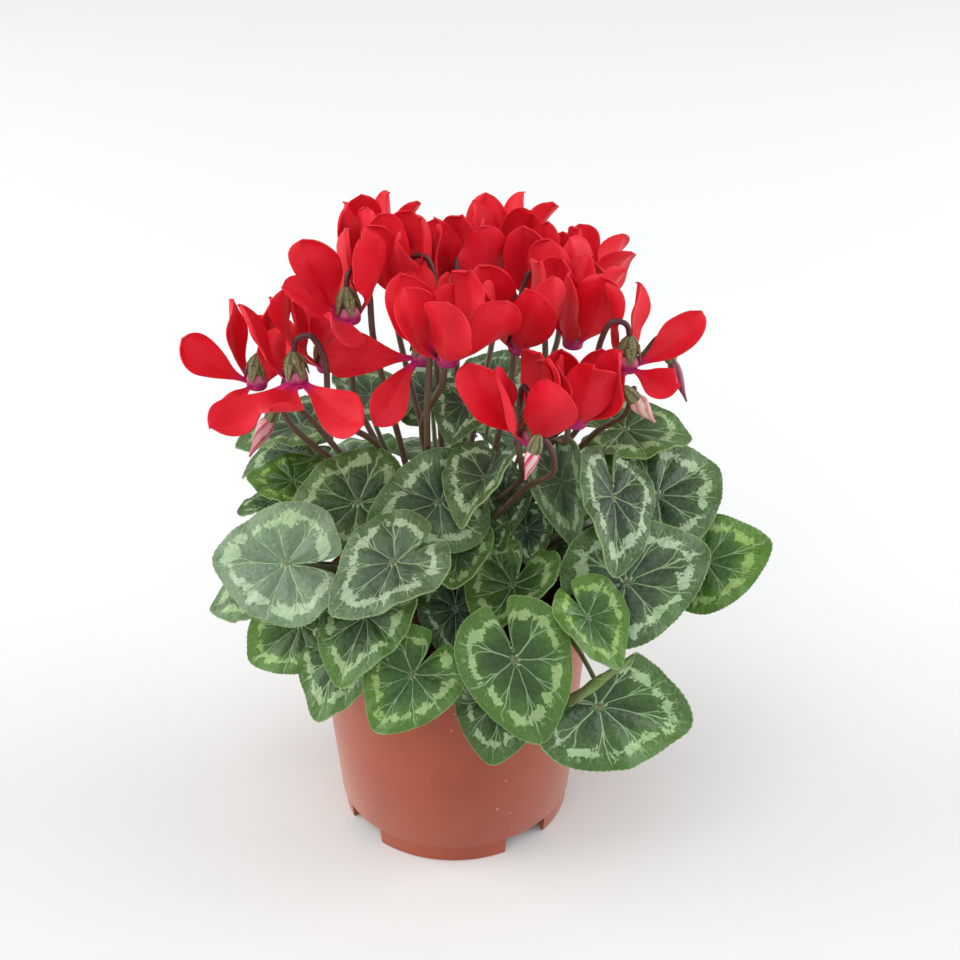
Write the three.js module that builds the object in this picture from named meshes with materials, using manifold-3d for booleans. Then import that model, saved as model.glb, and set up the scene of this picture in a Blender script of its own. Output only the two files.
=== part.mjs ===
// A cyclamen in flower, in a moulded plastic nursery pot.
// Millimetres, +Z up. The origin is the middle of the pot's underside and the front faces -Y.
import * as THREE from "three";
import { mergeVertices } from "three/addons/utils/BufferGeometryUtils.js";
import Module from "manifold-3d";

const wasm = await Module();
wasm.setup();

// Pot: radii are outside radii, and the wall leans out by POT_LEAN for each millimetre of height
const BASE_RADIUS = 44;
const POT_LEAN = 0.074;
const POT_HEIGHT = 92;
const FOOT_HEIGHT = 7.6;
const FOOT_INSET = 0.6;
const STEP_OUT = 1.2;
const FOOT_WALL = 2.4;
const WALL = 1.7;
const RIM_HEIGHT = 8;
const RIM_OUT = 1.8;
const FLOOR_LOW = 8.2;
const FLOOR_THICKNESS = 1.6;
const CENTRE_RADIUS = 9;
const CENTRE_LEAN = 0.15;
const POT_SIDES = 30;
const NOTCHES = 4;
const NOTCH_WIDTH = 19;
const NOTCH_DEPTH = 12;
const NOTCH_AZIMUTH = 38;
const DRAIN_RADIUS = 4;
const DRAIN_REACH = 26;

// Peat and tuber
const GAP = 0.3;
const PEAT_TOP = 82;
const PEAT_MOUND = 1.5;
const PEAT_WAVE = 0.9;
const HOLLOW_DEPTH = 0.6;
const PEAT_SIDES = 16;
const TUBER_RADIUS = 22;
const TUBER_LOW = 73;
const CROWN_RADIUS = 19;
const CROWN_TOP = 91.5;
const TUBER_SIDES = 14;

// Leaves: a blade is 1 wide before it is scaled, and its outline is drawn round the notch of the heart
const BLADE_THICKNESS = 0.8;
const EDGE_STEPS = 16;
const SMALL_EDGE_STEPS = 12;
const SMALL_BLADE = 31;
const EDGE_END = 166;
const HEART = { size: 0.44, shoulder: 0.07, tip: 0.26, tipSpread: 24, notchSpread: 14 };
const SHOULDER = { angle: 120, spread: 34 };
const BLADE_SHAPE = { long: 1, fold: 12, cup: -0.15, arch: 0.2, rise: 20, back: 12, lift: 0 };
const TOOTH = 0.022;
const RING_REACH = 0.56;
const RIPPLE = 0.022;
const RIPPLE_WAVES = 5;
const PETIOLE_RADIUS = 1.15;
const PETIOLE_SIDES = 4;
const PETIOLE_STATIONS = [0, 0.25, 0.6, 1];
const PETIOLE_INSET = 1.8;
const PETIOLE_TIP = 0.6;
const OUTER_FEET = 17;
const INNER_FEET = 13;
const CORE_FEET = 9;

// Blooms: five petals swept back from the mouth of a short tube, which hangs from the hook of its stalk
const PETAL_THICKNESS = 0.8;
const PETAL_LENGTH = 30;
const PETAL_WIDTH = 14.5;
const CLAW_WIDTH = 2.8;
const CLAW_REACH = 2.8;
const PETAL_STATIONS = [0, 0.3, 0.76, 1];
const PETAL_TWIST = 36;
const PETAL_CURL = 4;
const PETAL_HOLLOW = 0.16;
const PETAL_TIP = { from: 0.68, narrowing: 0.93, rounding: 1.6 };
const FIRST_LIFT = 0.62;
const TWIST_SHARE = 0.4;
const PETAL_FANS = [56, 118, 180, 242, 304];
const MOUTH_RADIUS = 3.6;
const TUBE_RADIUS = 4.9;
const TUBE_HEIGHT = 5.2;
const TUBE_SIDES = 6;
const CALYX_SIDES = 5;
const CALYX_HEIGHT = 6;
const STALK_RADIUS = 1.05;
const STALK_SIDES = 4;
const HOOK = [[0, 10], [1.8, 15.6], [6.4, 16.4], [9.8, 8], [9.4, -11]];
const CLIMB_SHARE = 0.35;
const CLIMB_RISE = 13;
const TRUNK_RADIUS = 3.7;
const FOOT_SPREAD = 2.2;
const TRUNK_HEIGHT = 6;
const TRUNK_SIDES = 8;

// Buds: a twisted spindle under a calyx of its own
const BUD_SIDES = 5;
const BUD_STATIONS = [[0, 0.5], [0.28, 1], [0.68, 0.8], [1, 0.14]];
const BUD_TURN = 100;
const BUD_RADIUS = 3;

const RAD = Math.PI / 180;
const UP = new THREE.Vector3(0, 0, 1);

const FINISHES = {
  pot: { color: "#a85a40", roughness: 0.5 },
  peat: { color: "#2e241d", roughness: 0.95 },
  tuber: { color: "#5a4636", roughness: 0.85 },
  leaf: { color: "#4f7a4c", roughness: 0.55 },
  stalk: { color: "#6b4238", roughness: 0.6 },
  petal: { color: "#d3202f", roughness: 0.5 },
  bud: { color: "#e3a6a8", roughness: 0.5 },
};

// Every leaf node: the place of its foot round the crown, and its blade or pair of blades.
// at is the notch of the heart, head the compass turn of the midrib from +X, pitch its rise,
// roll the tilt about it, all angles in degrees. fold lifts both halves about the midrib,
// cup turns the edges up, arch drops the tip, and rise is how high the leaf stalk first climbs.
// back is how far below the blade the leaf stalk comes in, and lift raises that point.
const LEAVES = {
  leaf_front_low_right: {
    foot: -70, ring: OUTER_FEET,
    blades: [{ at: [22, -64, 108], head: -50, pitch: -63, roll: 33, width: 40, long: 1.18, rise: 26 }],
  },
  leaf_front_low: {
    foot: -85, ring: OUTER_FEET,
    blades: [{ at: [17, -60, 88.5], head: -105, pitch: -54, roll: -8, width: 34, rise: 34, lift: 20, steps: 12 }],
  },
  leaf_front_low_left: {
    foot: -99, ring: OUTER_FEET,
    blades: [{ at: [-12, -64, 102], head: -145, pitch: -45, roll: -37, width: 35, rise: 24 }],
  },
  leaf_right_low: {
    foot: -42, ring: OUTER_FEET,
    blades: [{
      at: [51, -54, 81], head: 11, pitch: -22, roll: 63, width: 49, long: 1.2, fold: 20,
      rise: 36, lift: 22,
    }],
  },
  leaf_front_left: {
    foot: -119, ring: OUTER_FEET,
    blades: [
      { at: [-27, -54, 119], head: -126, pitch: -41, roll: 0, width: 38 },
    ],
  },
  leaf_front_left_top: {
    foot: -124, ring: INNER_FEET,
    blades: [{ at: [-17, -56, 141], head: -151, pitch: -24, roll: -12, width: 40 }],
  },
  leaf_left_broad: {
    foot: -148, ring: OUTER_FEET,
    blades: [{ at: [-54, -42, 132], head: 157, pitch: -11, roll: -55, width: 44, long: 1.1 }],
  },
  leaf_left_top: {
    foot: -140, ring: INNER_FEET,
    blades: [{ at: [-31, -23, 144], head: -173, pitch: -10, roll: -35, width: 42 }],
  },
  leaf_centre_left: {
    foot: -104, ring: INNER_FEET,
    blades: [{ at: [-3, -28, 147], head: -161, pitch: -5, roll: -50, width: 38 }],
  },
  leaf_centre_front: {
    foot: -72, ring: INNER_FEET,
    blades: [{ at: [12.5, -28, 156.5], head: -116, pitch: -18, roll: 12, width: 32, fold: 35 }],
  },
  leaf_crescent: {
    foot: -88, ring: INNER_FEET,
    blades: [{ at: [3, -34, 131], head: -98, pitch: -24, roll: 0, width: 26, cup: 0.5, arch: -0.35 }],
  },
  leaf_bowl: {
    foot: -56, ring: INNER_FEET,
    blades: [{ at: [22, -35.5, 118.5], head: -118, pitch: -22, roll: 0, width: 35, cup: 0.7, arch: -0.35 }],
  },
  leaf_folded: {
    foot: -38, ring: INNER_FEET,
    blades: [{ at: [38.5, -19, 149.5], head: -76, pitch: -42, roll: 22, width: 35, fold: 55 }],
  },
  leaf_right_front: {
    foot: -24, ring: INNER_FEET,
    blades: [{ at: [55.4, -30.3, 150], head: -86, pitch: -34, roll: -33, width: 34, long: 1.25, fold: 14 }],
  },
  leaf_right_broad: {
    foot: -8, ring: INNER_FEET,
    blades: [{ at: [73, -9, 138], head: 38, pitch: 10, roll: 33, width: 47 }],
  },
  leaf_right_outer: {
    foot: 0, ring: OUTER_FEET,
    blades: [{ at: [91, -15, 114], head: 9, pitch: 15, roll: 48, width: 38 }],
  },
  leaf_right_middle: {
    foot: -22, ring: OUTER_FEET,
    blades: [
      { at: [60, -41, 123], head: 20, pitch: 12, roll: 52, width: 45, long: 1.1 },
    ],
  },
  leaf_right_young: {
    foot: -55, ring: OUTER_FEET,
    blades: [{ at: [46, -56, 119], head: -43, pitch: -42, roll: 9, width: 30, fold: 25 }],
  },
  leaves_left_low: {
    foot: -132, ring: OUTER_FEET,
    blades: [
      { at: [-52, -36, 103], head: -169, pitch: -33, roll: -52, width: 36 },
      { at: [-37, -47, 99], head: -130, pitch: -50, roll: 0, width: 38 },
    ],
  },
  leaves_left_outer: {
    foot: -164, ring: OUTER_FEET,
    blades: [
      { at: [-68, -12, 104], head: 174, pitch: -25, roll: -20, width: 36 },
      { at: [-66, 8, 127], head: -170, pitch: -8, roll: 0, width: 19, steps: 8 },
    ],
  },
  leaves_left_back: {
    foot: 176, ring: INNER_FEET,
    blades: [
      { at: [-54, 18, 153], head: -176, pitch: -10, roll: 0, width: 38 },
      { at: [-56, 2, 139], head: 166, pitch: 5, roll: -16, width: 27 },
      { at: [-58, 24, 139], head: -180, pitch: -17, roll: 0, width: 34 },
    ],
  },
  leaf_inner_left: {
    foot: -109, ring: OUTER_FEET,
    blades: [{ at: [2, -40, 112], head: -90, pitch: -48, roll: 0, width: 28, rise: 16, back: 6, steps: 8 }],
  },
  leaf_inner_back: {
    foot: 60, ring: OUTER_FEET,
    blades: [{ at: [30, 31, 99], head: 60, pitch: 0, roll: 0, width: 42, rise: 6, back: 6, steps: 8 }],
  },
  leaf_top: {
    foot: -66, ring: CORE_FEET,
    blades: [{ at: [6, -7, 174], head: -112, pitch: -30, roll: 0, width: 24, back: 6, steps: 8 }],
  },
  leaf_top_right: {
    foot: 14, ring: INNER_FEET,
    blades: [{ at: [62, 3, 158], head: 8, pitch: -4, roll: 12, width: 38, back: 5, steps: 12 }],
  },
};

// Leaves of the far side, which the front view hides: three rows, each spaced round the crown by a rule
const BACK_ROWS = [
  {
    name: "low", count: 5, shared: 2, ring: OUTER_FEET, from: 14, step: 38,
    reach: 62, height: 104, pitch: -36, width: 42,
  },
  {
    name: "middle", count: 4, shared: 2, ring: INNER_FEET, from: 22, step: 38,
    reach: 54, height: 128, pitch: -16, width: 37,
  },
  {
    name: "high", count: 4, shared: 2, ring: CORE_FEET, from: 43, step: 28,
    reach: 49, height: 152, pitch: 24, width: 32,
  },
];

// Every bloom, placed by the mouth of its tube: tilt is how far its axis leans and lean the compass
// turn of that lean, spin the side its hooked stalk stands on, fans the turns of its petals round the
// axis and lift the rise of each above level. twists turn the petals' faces, sizes make some smaller, and
// via is a place that the stalk passes on the way up.
const BLOOMS = {
  left_outer: {
    at: [-65, -4, 180], lean: 0, tilt: 6, spin: 14, fans: [72, 146, 175, 240, 334],
    lift: [80, 73, 28, -14, 88], twists: [80, -20, 36, 0, 36], sizes: [1, 1, 0.9, 0.6, 0.8], trunk: "left",
  },
  left_front: {
    at: [-48, -26, 191], lean: 180, tilt: 4, spin: 0, fans: [100, 160, 212, 262, 315],
    lift: [62, 66, -22, 4, -22], twists: [85, -20, 10, 36, -44], via: [[-24, -8, 158]], trunk: "left",
  },
  left_back: {
    at: [-43, 16, 177], lean: 180, tilt: 5, spin: -20, fans: [40, 100, 165, 225, 285],
    lift: [78, 76, 42, 80, 78], trunk: "left",
  },
  middle_left_front: {
    at: [-8, -14, 193], lean: 0, tilt: 4, spin: 285, fans: [50, 105, 185, 228, 345],
    lift: [76, 80, 4, -50, 84], twists: [50, 50, 50, 50, 50],
    sizes: [1, 1, 1, 0.85, 1], trunk: "left",
  },
  middle_left: {
    at: [-31, -14, 208], lean: 180, tilt: 4, spin: 50, fans: [15, 85, 145, 190, 265],
    lift: [80, 78, 70, 46, 12], twists: [36, 60, 5, 36, 36], sizes: [0.95, 0.95, 0.95, 0.75, 0.9], trunk: "left",
  },
  middle_left_back: {
    at: [-25, 38, 202], lean: 90, tilt: 4, spin: -50,
    lift: [78, 76, 80, 76, 78], trunk: "middle",
  },
  middle_top: {
    at: [-13, 14, 203], lean: 90, tilt: 4, spin: 340, fans: [30, 85, 140, 200, 262],
    lift: [84, 84, 78, 76, 72], trunk: "middle",
  },
  middle_front: {
    at: [1, -34, 202], lean: 270, tilt: 4, spin: 100, fans: [148, 200, 270, 342, 45],
    lift: [66, 74, 72, 52, 76], via: [[-9, -8, 165]], trunk: "middle",
  },
  middle_right_front: {
    at: [24, -14, 197], lean: 270, tilt: 4, spin: 100,
    lift: [80, 78, 72, 74, 78], trunk: "right",
  },
  middle_back: {
    at: [4, 31, 196], lean: 90, tilt: 4, spin: 265,
    lift: [78, 78, 76, 80, 84], trunk: "middle",
  },
  middle_far: {
    at: [21.5, 50, 198], lean: 90, tilt: 4, spin: 245,
    lift: [76, 74, 70, 74, 76], trunk: "middle",
  },
  right_far: {
    at: [34, 27, 194], lean: 0, tilt: 4, spin: 210,
    lift: [82, 80, 78, 80, 82], trunk: "right",
  },
  right_back: {
    at: [48, 43, 187], lean: 0, tilt: 4, spin: 215,
    lift: [76, 72, 66, 72, 76], trunk: "right",
  },
  right_middle: {
    at: [43, 5, 190], lean: 0, tilt: 4, spin: 190,
    lift: [80, 82, 78, 82, 82], trunk: "right",
  },
  front_low: {
    at: [27, -44, 179], lean: 270, tilt: 6, spin: 110, fans: [160, 215, 298, 22, 68],
    lift: [60, 78, 74, 86, 82], via: [[25, -20, 152]], trunk: "middle",
  },
  front_right: {
    at: [42, -33, 179], lean: 0, tilt: 4, spin: 100, fans: [40, 158, 215, 280, 338],
    lift: [84, 86, 86, 82, 74], twists: [-36, 36, 36, 20, -50], sizes: [0.85, 0.85, 0.85, 0.95, 1],
    via: [[36, -9, 160]], trunk: "right",
  },
  right_outer: {
    at: [59, -21, 193], lean: 0, tilt: 4, spin: 185, fans: [78, 14, 305, 250, 128],
    lift: [80, 40, 4, -60, 78], via: [[34, -6, 158]], twists: [-75, -38, -38, -38, -38],
    sizes: [0.92, 0.94, 0.75, 0.55, 0.9], trunk: "right",
  },
};

// Every bud: the stalk's course from the crown to the calyx, the way the bud hangs and its length
const BUDS = {
  right_mauve: {
    course: [[58, 23, 164], [69, 15, 182], [74, 15, 188], [77.5, 15, 185]],
    at: [78, 15, 181], tip: [85, 15, 163], trunk: "right",
  },
  right_pale: {
    course: [[50, -8, 162], [59, -21, 176], [60, -30, 187], [60, -36, 193]],
    at: [59, -39, 192], tip: [67, -38, 182], trunk: "right",
  },
  left_pink: {
    course: [[-44, -8, 165], [-51, -12, 176], [-55, -14, 179], [-58, -14, 177]],
    at: [-59, -14, 174], tip: [-68, -14, 158], trunk: "left",
  },
  front_striped: {
    course: [[25.5, -28, 152], [34, -49, 170], [33, -57, 182], [30.5, -59, 187]],
    at: [28, -59, 185], tip: [25, -57, 172], trunk: "middle",
  },
};

const TRUNKS = {
  left: [-7.5, 0],
  middle: [0, 0],
  right: [7.5, 0],
};

const vector = (point) => new THREE.Vector3(...point);

function finish(kind) {
  return new THREE.MeshStandardMaterial({ ...FINISHES[kind], metalness: 0, name: kind });
}

// Turns a list of corners and triangles into a solid
function solidFrom(points, triangles) {
  const vertProperties = new Float32Array(points.flatMap((p) => [p.x, p.y, p.z]));
  const triVerts = new Uint32Array(triangles);
  return new wasm.Manifold(new wasm.Mesh({ numProp: 3, vertProperties, triVerts }));
}

// Turns a closed three.js geometry into a solid
function solidOf(geometry) {
  geometry.deleteAttribute("normal");
  geometry.deleteAttribute("uv");
  const merged = mergeVertices(geometry, 1e-3);
  const vertProperties = new Float32Array(merged.attributes.position.array);
  const triVerts = new Uint32Array(merged.index.array);
  return new wasm.Manifold(new wasm.Mesh({ numProp: 3, vertProperties, triVerts }));
}

function meshOf(name, solid, kind) {
  const data = solid.getMesh();
  const geometry = new THREE.BufferGeometry();
  geometry.setAttribute("position", new THREE.BufferAttribute(new Float32Array(data.vertProperties), 3));
  geometry.setIndex(new THREE.BufferAttribute(new Uint32Array(data.triVerts), 1));
  geometry.computeVertexNormals();
  const mesh = new THREE.Mesh(geometry, finish(kind));
  mesh.name = name;
  return mesh;
}

// A profile of [radius, height] pairs turned about Z
function turned(profile, sides) {
  const geometry = new THREE.LatheGeometry(profile.map(([r, z]) => new THREE.Vector2(r, z)), sides);
  return geometry.rotateX(Math.PI / 2);
}

// Gives a sheet of triangles its thickness: both faces keep the same triangles, joined along the edge
function thicken(points, triangles, thickness) {
  const normals = points.map(() => new THREE.Vector3());
  const edges = new Map();
  for (const [a, b, c] of triangles) {
    const normal = points[b].clone().sub(points[a]).cross(points[c].clone().sub(points[a]));
    [a, b, c].forEach((corner) => normals[corner].add(normal));
    [[a, b], [b, c], [c, a]].forEach(([p, q]) => edges.set(`${p},${q}`, [p, q]));
  }
  const half = (sign) =>
    points.map((p, i) => {
      return p.clone().addScaledVector(normals[i].clone().normalize(), (sign * thickness) / 2);
    });
  const count = points.length;
  const faces = [];
  for (const [a, b, c] of triangles) {
    faces.push(a, b, c);
    faces.push(c + count, b + count, a + count);
  }
  for (const [p, q] of edges.values()) {
    if (edges.has(`${q},${p}`)) continue;
    faces.push(q, p, p + count);
    faces.push(q, p + count, q + count);
  }
  return solidFrom([...half(1), ...half(-1)], faces);
}

// A closed tube with a ring of corners round each point, its rings turned as little as possible
function tube(points, radii, sides, rise) {
  const corners = [];
  const faces = [];
  const side = new THREE.Vector3(1, 0, 0);
  points.forEach((point, i) => {
    const before = points[Math.max(i - 1, 0)];
    const after = points[Math.min(i + 1, points.length - 1)];
    const way = i === 0 && rise ? rise : after.clone().sub(before).normalize();
    side.addScaledVector(way, -side.dot(way)).normalize();
    const other = way.clone().cross(side);
    for (let k = 0; k < sides; k += 1) {
      const angle = (2 * Math.PI * k) / sides;
      const corner = point.clone().addScaledVector(side, radii[i] * Math.cos(angle));
      corners.push(corner.addScaledVector(other, radii[i] * Math.sin(angle)));
    }
  });
  const last = (points.length - 1) * sides;
  for (let i = 0; i < points.length - 1; i += 1) {
    for (let k = 0; k < sides; k += 1) {
      const a = i * sides + k;
      const b = i * sides + ((k + 1) % sides);
      faces.push(a, b, b + sides);
      faces.push(a, b + sides, a + sides);
    }
  }
  for (let k = 1; k < sides - 1; k += 1) {
    faces.push(0, k + 1, k);
    faces.push(last, last + k, last + k + 1);
  }
  return solidFrom(corners, faces);
}

// The outside radius of the pot's wall at a height above its foot
function outside(z) {
  return BASE_RADIUS + STEP_OUT + POT_LEAN * (z - FOOT_HEIGHT);
}

// The outside radius of the floor's lowered centre at a height above the pot's foot
function centre(z) {
  return CENTRE_RADIUS + CENTRE_LEAN * z;
}

// The pot: wall, rim, a floor whose centre is lowered to the ground, and a foot cut into four by notches
function potSolid() {
  const rimLow = POT_HEIGHT - RIM_HEIGHT;
  const rim = outside(rimLow) + RIM_OUT;
  const floorTop = FLOOR_LOW + FLOOR_THICKNESS;
  const profile = [
    [0, 0],
    [centre(0), 0],
    [centre(FLOOR_LOW), FLOOR_LOW],
    [BASE_RADIUS - FOOT_WALL + 0.3, FLOOR_LOW],
    [BASE_RADIUS - FOOT_WALL, 0],
    [BASE_RADIUS, 0],
    [BASE_RADIUS + FOOT_INSET, FOOT_HEIGHT],
    [outside(FOOT_HEIGHT), FOOT_HEIGHT + 0.5],
    [outside(rimLow), rimLow],
    [rim - 0.3, rimLow + 0.6],
    [rim, POT_HEIGHT - 0.7],
    [rim - 0.7, POT_HEIGHT],
    [rim - 1.8, POT_HEIGHT],
    [outside(rimLow) - WALL + 0.4, rimLow],
    [outside(floorTop) - WALL, floorTop],
    [centre(floorTop) - WALL, floorTop],
    [centre(FLOOR_THICKNESS) - WALL, FLOOR_THICKNESS],
    [0, FLOOR_THICKNESS],
  ];
  let pot = solidOf(turned(profile, POT_SIDES));
  for (let k = 0; k < NOTCHES; k += 1) {
    const turn = (NOTCH_AZIMUTH - 90) * RAD + (k * 2 * Math.PI) / NOTCHES;
    const notch = new THREE.BoxGeometry(NOTCH_DEPTH, NOTCH_WIDTH, 2 * FOOT_HEIGHT);
    pot = pot.subtract(solidOf(notch.translate(BASE_RADIUS, 0, 0).rotateZ(turn)));
    const drain = new THREE.CylinderGeometry(DRAIN_RADIUS, DRAIN_RADIUS, 6, 8).rotateX(Math.PI / 2);
    pot = pot.subtract(solidOf(drain.translate(DRAIN_REACH, 0, FLOOR_LOW).rotateZ(turn)));
  }
  return pot;
}

// The peat fills the pot to below its rim, lies in low crumbled waves and has a hollow for the tuber
function peatSolid() {
  const low = FLOOR_LOW + FLOOR_THICKNESS + GAP;
  const lowest = FLOOR_THICKNESS + GAP;
  const inside = (z) => outside(z) - WALL - 2 * GAP;
  const profile = [
    [0, lowest],
    [centre(lowest) - WALL - 2 * GAP, lowest],
    [centre(low) - WALL - 2 * GAP, low],
    [inside(low), low],
    [inside(PEAT_TOP), PEAT_TOP],
    [38, PEAT_TOP + PEAT_MOUND],
    [29, PEAT_TOP + PEAT_MOUND],
    [TUBER_RADIUS + 1, PEAT_TOP + PEAT_MOUND],
    [TUBER_RADIUS + 0.8, TUBER_LOW + 4],
    [15.5, TUBER_LOW - HOLLOW_DEPTH],
    [0, TUBER_LOW - HOLLOW_DEPTH],
  ];
  const geometry = turned(profile, PEAT_SIDES);
  const place = geometry.attributes.position;
  for (let i = 0; i < place.count; i += 1) {
    const x = place.getX(i);
    const y = place.getY(i);
    const z = place.getZ(i);
    if (z > PEAT_TOP + 0.5) place.setZ(i, z + PEAT_WAVE * Math.sin(x * 0.9) * Math.cos(y * 0.7));
  }
  return solidOf(geometry);
}

// The tuber: a flattened globe with a level crown that all the stalks grow from
function tuberSolid() {
  const profile = [
    [0, TUBER_LOW],
    [14, TUBER_LOW],
    [TUBER_RADIUS - 1, TUBER_LOW + 5],
    [TUBER_RADIUS, TUBER_LOW + 10],
    [TUBER_RADIUS - 1, CROWN_TOP - 3],
    [CROWN_RADIUS, CROWN_TOP],
    [0, CROWN_TOP],
  ];
  return solidOf(turned(profile, TUBER_SIDES));
}

// How far the edge of a blade lies from its notch, in blade widths, at an angle from the midrib
function edgeReach(degrees) {
  const angle = Math.abs(degrees);
  const tip = HEART.tip * Math.exp(-angle / HEART.tipSpread);
  const shoulder = HEART.shoulder * Math.exp(-(((angle - SHOULDER.angle) / SHOULDER.spread) ** 2));
  const body = HEART.size + shoulder + tip;
  return body * (1 - Math.exp(-(((180 - angle) / HEART.notchSpread) ** 2)));
}

// Where a point of the flat blade lies once the blade is bent, in millimetres from its notch
function bentPoint(blade, degrees, share, tooth) {
  const reach = edgeReach(degrees) * share * (1 + tooth);
  const along = reach * Math.cos(degrees * RAD);
  const across = reach * Math.sin(degrees * RAD);
  const fold = blade.fold * RAD;
  const side = Math.abs(across);
  const wave = RIPPLE * share ** 2 * Math.sin(RIPPLE_WAVES * degrees * RAD + blade.at[0]);
  const lift = side * Math.sin(fold) + blade.cup * side ** 2 - blade.arch * along ** 2;
  return new THREE.Vector3(
    along * blade.long * blade.width,
    across * Math.cos(fold) * blade.width,
    (lift + wave) * blade.width,
  );
}

// The frame of a blade: X along its midrib, Z out of its upper face, placed at its notch
function bladeFrame(blade) {
  const { head, pitch, roll } = blade;
  const along = new THREE.Vector3(
    Math.cos(pitch * RAD) * Math.cos(head * RAD),
    Math.cos(pitch * RAD) * Math.sin(head * RAD),
    Math.sin(pitch * RAD),
  );
  const across = UP.clone().cross(along).normalize().applyAxisAngle(along, roll * RAD);
  const frame = new THREE.Matrix4().makeBasis(along, across, along.clone().cross(across));
  return frame.setPosition(vector(blade.at));
}

// The blade: a fan round the notch, a ring of corners inside and the toothed edge outside
function bladeSolid(blade) {
  const points = [new THREE.Vector3()];
  const triangles = [];
  const steps = blade.steps ?? (blade.width < SMALL_BLADE ? SMALL_EDGE_STEPS : EDGE_STEPS);
  const inner = (k) => 1 + k;
  const outer = (i) => steps / 2 + 2 + i;
  const angleOf = (i) => -EDGE_END + (2 * EDGE_END * i) / steps;
  for (let k = 0; k <= steps / 2; k += 1) points.push(bentPoint(blade, angleOf(2 * k), RING_REACH, 0));
  for (let i = 0; i <= steps; i += 1) {
    points.push(bentPoint(blade, angleOf(i), 1, i % 2 ? TOOTH : -TOOTH));
  }
  for (let k = 0; k < steps / 2; k += 1) {
    triangles.push([0, inner(k), inner(k + 1)]);
    triangles.push([inner(k), outer(2 * k), outer(2 * k + 1)]);
    triangles.push([inner(k), outer(2 * k + 1), inner(k + 1)]);
    triangles.push([inner(k + 1), outer(2 * k + 1), outer(2 * k + 2)]);
  }
  const frame = bladeFrame(blade);
  points.forEach((point) => point.applyMatrix4(frame));
  return thicken(points, triangles, BLADE_THICKNESS);
}

// The leaf stalk: it climbs from the crown and comes up under the blade just before the notch
function petioleSolid(blade, foot) {
  const frame = bladeFrame(blade);
  const inset = bentPoint(blade, 0, PETIOLE_INSET / (edgeReach(0) * blade.width), 0);
  const end = inset.clone().applyMatrix4(frame);
  const below = inset.clone().setZ(inset.z - blade.back).applyMatrix4(frame);
  below.z += blade.lift;
  const start = new THREE.Vector3(foot.x, foot.y, CROWN_TOP + GAP);
  const climb = start.clone().lerp(end, 0.1).setZ(start.z + blade.rise);
  const curve = new THREE.CubicBezierCurve3(start, climb, below, end);
  const points = PETIOLE_STATIONS.map((t) => curve.getPoint(t));
  const radii = PETIOLE_STATIONS.map((t) => PETIOLE_RADIUS * (t === 1 ? PETIOLE_TIP : 1));
  return tube(points, radii, PETIOLE_SIDES, UP);
}

function leafSolid({ foot, ring, blades }) {
  const start = new THREE.Vector2(ring * Math.cos(foot * RAD), ring * Math.sin(foot * RAD));
  const shapes = blades.map((blade) => ({ ...BLADE_SHAPE, ...blade }));
  const pieces = shapes.flatMap((blade) => [bladeSolid(blade), petioleSolid(blade, start)]);
  return pieces.reduce((whole, piece) => whole.add(piece));
}

// The rows of leaves on the far side: neighbours of the upper rows share a foot and so a node
function backLeaves() {
  const nodes = {};
  for (const row of BACK_ROWS) {
    for (let k = 0; k < row.count; k += 1) {
      const azimuth = row.from + k * row.step;
      const sway = k % 2 ? 1 : -1;
      const at = [
        row.reach * Math.cos(azimuth * RAD),
        row.reach * Math.sin(azimuth * RAD),
        row.height + 2.5 * sway,
      ];
      const name = `leaves_back_${row.name}_${1 + Math.floor(k / row.shared)}`;
      const foot = azimuth + (row.step * (row.shared - 1)) / 2;
      nodes[name] ??= { foot, ring: row.ring, blades: [] };
      const { pitch, width } = row;
      const turn = { head: azimuth + 5 * sway, pitch, roll: 5 * sway };
      nodes[name].blades.push({ at, ...turn, width, steps: SMALL_EDGE_STEPS });
    }
  }
  return nodes;
}

// The frame of a bloom: Z from the mouth of its tube to its calyx, X where compass 0 is
function bloomFrame(bloom) {
  const axis = new THREE.Vector3().setFromSphericalCoords(1, bloom.tilt * RAD, 0);
  axis.set(axis.z * Math.cos(bloom.lean * RAD), axis.z * Math.sin(bloom.lean * RAD), axis.y);
  const turn = new THREE.Quaternion().setFromUnitVectors(UP, axis);
  return new THREE.Matrix4().makeRotationFromQuaternion(turn).setPosition(vector(bloom.at));
}

// Half the width of a petal at a share of its length
function petalHalfWidth(share) {
  const claw = CLAW_WIDTH / 2;
  const spread = THREE.MathUtils.smoothstep(share, 0, 0.66);
  const past = Math.max(share - PETAL_TIP.from, 0) / (1 - PETAL_TIP.from);
  return (claw + (PETAL_WIDTH / 2 - claw) * spread) * Math.sqrt(1 - PETAL_TIP.narrowing * past ** 2);
}

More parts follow.
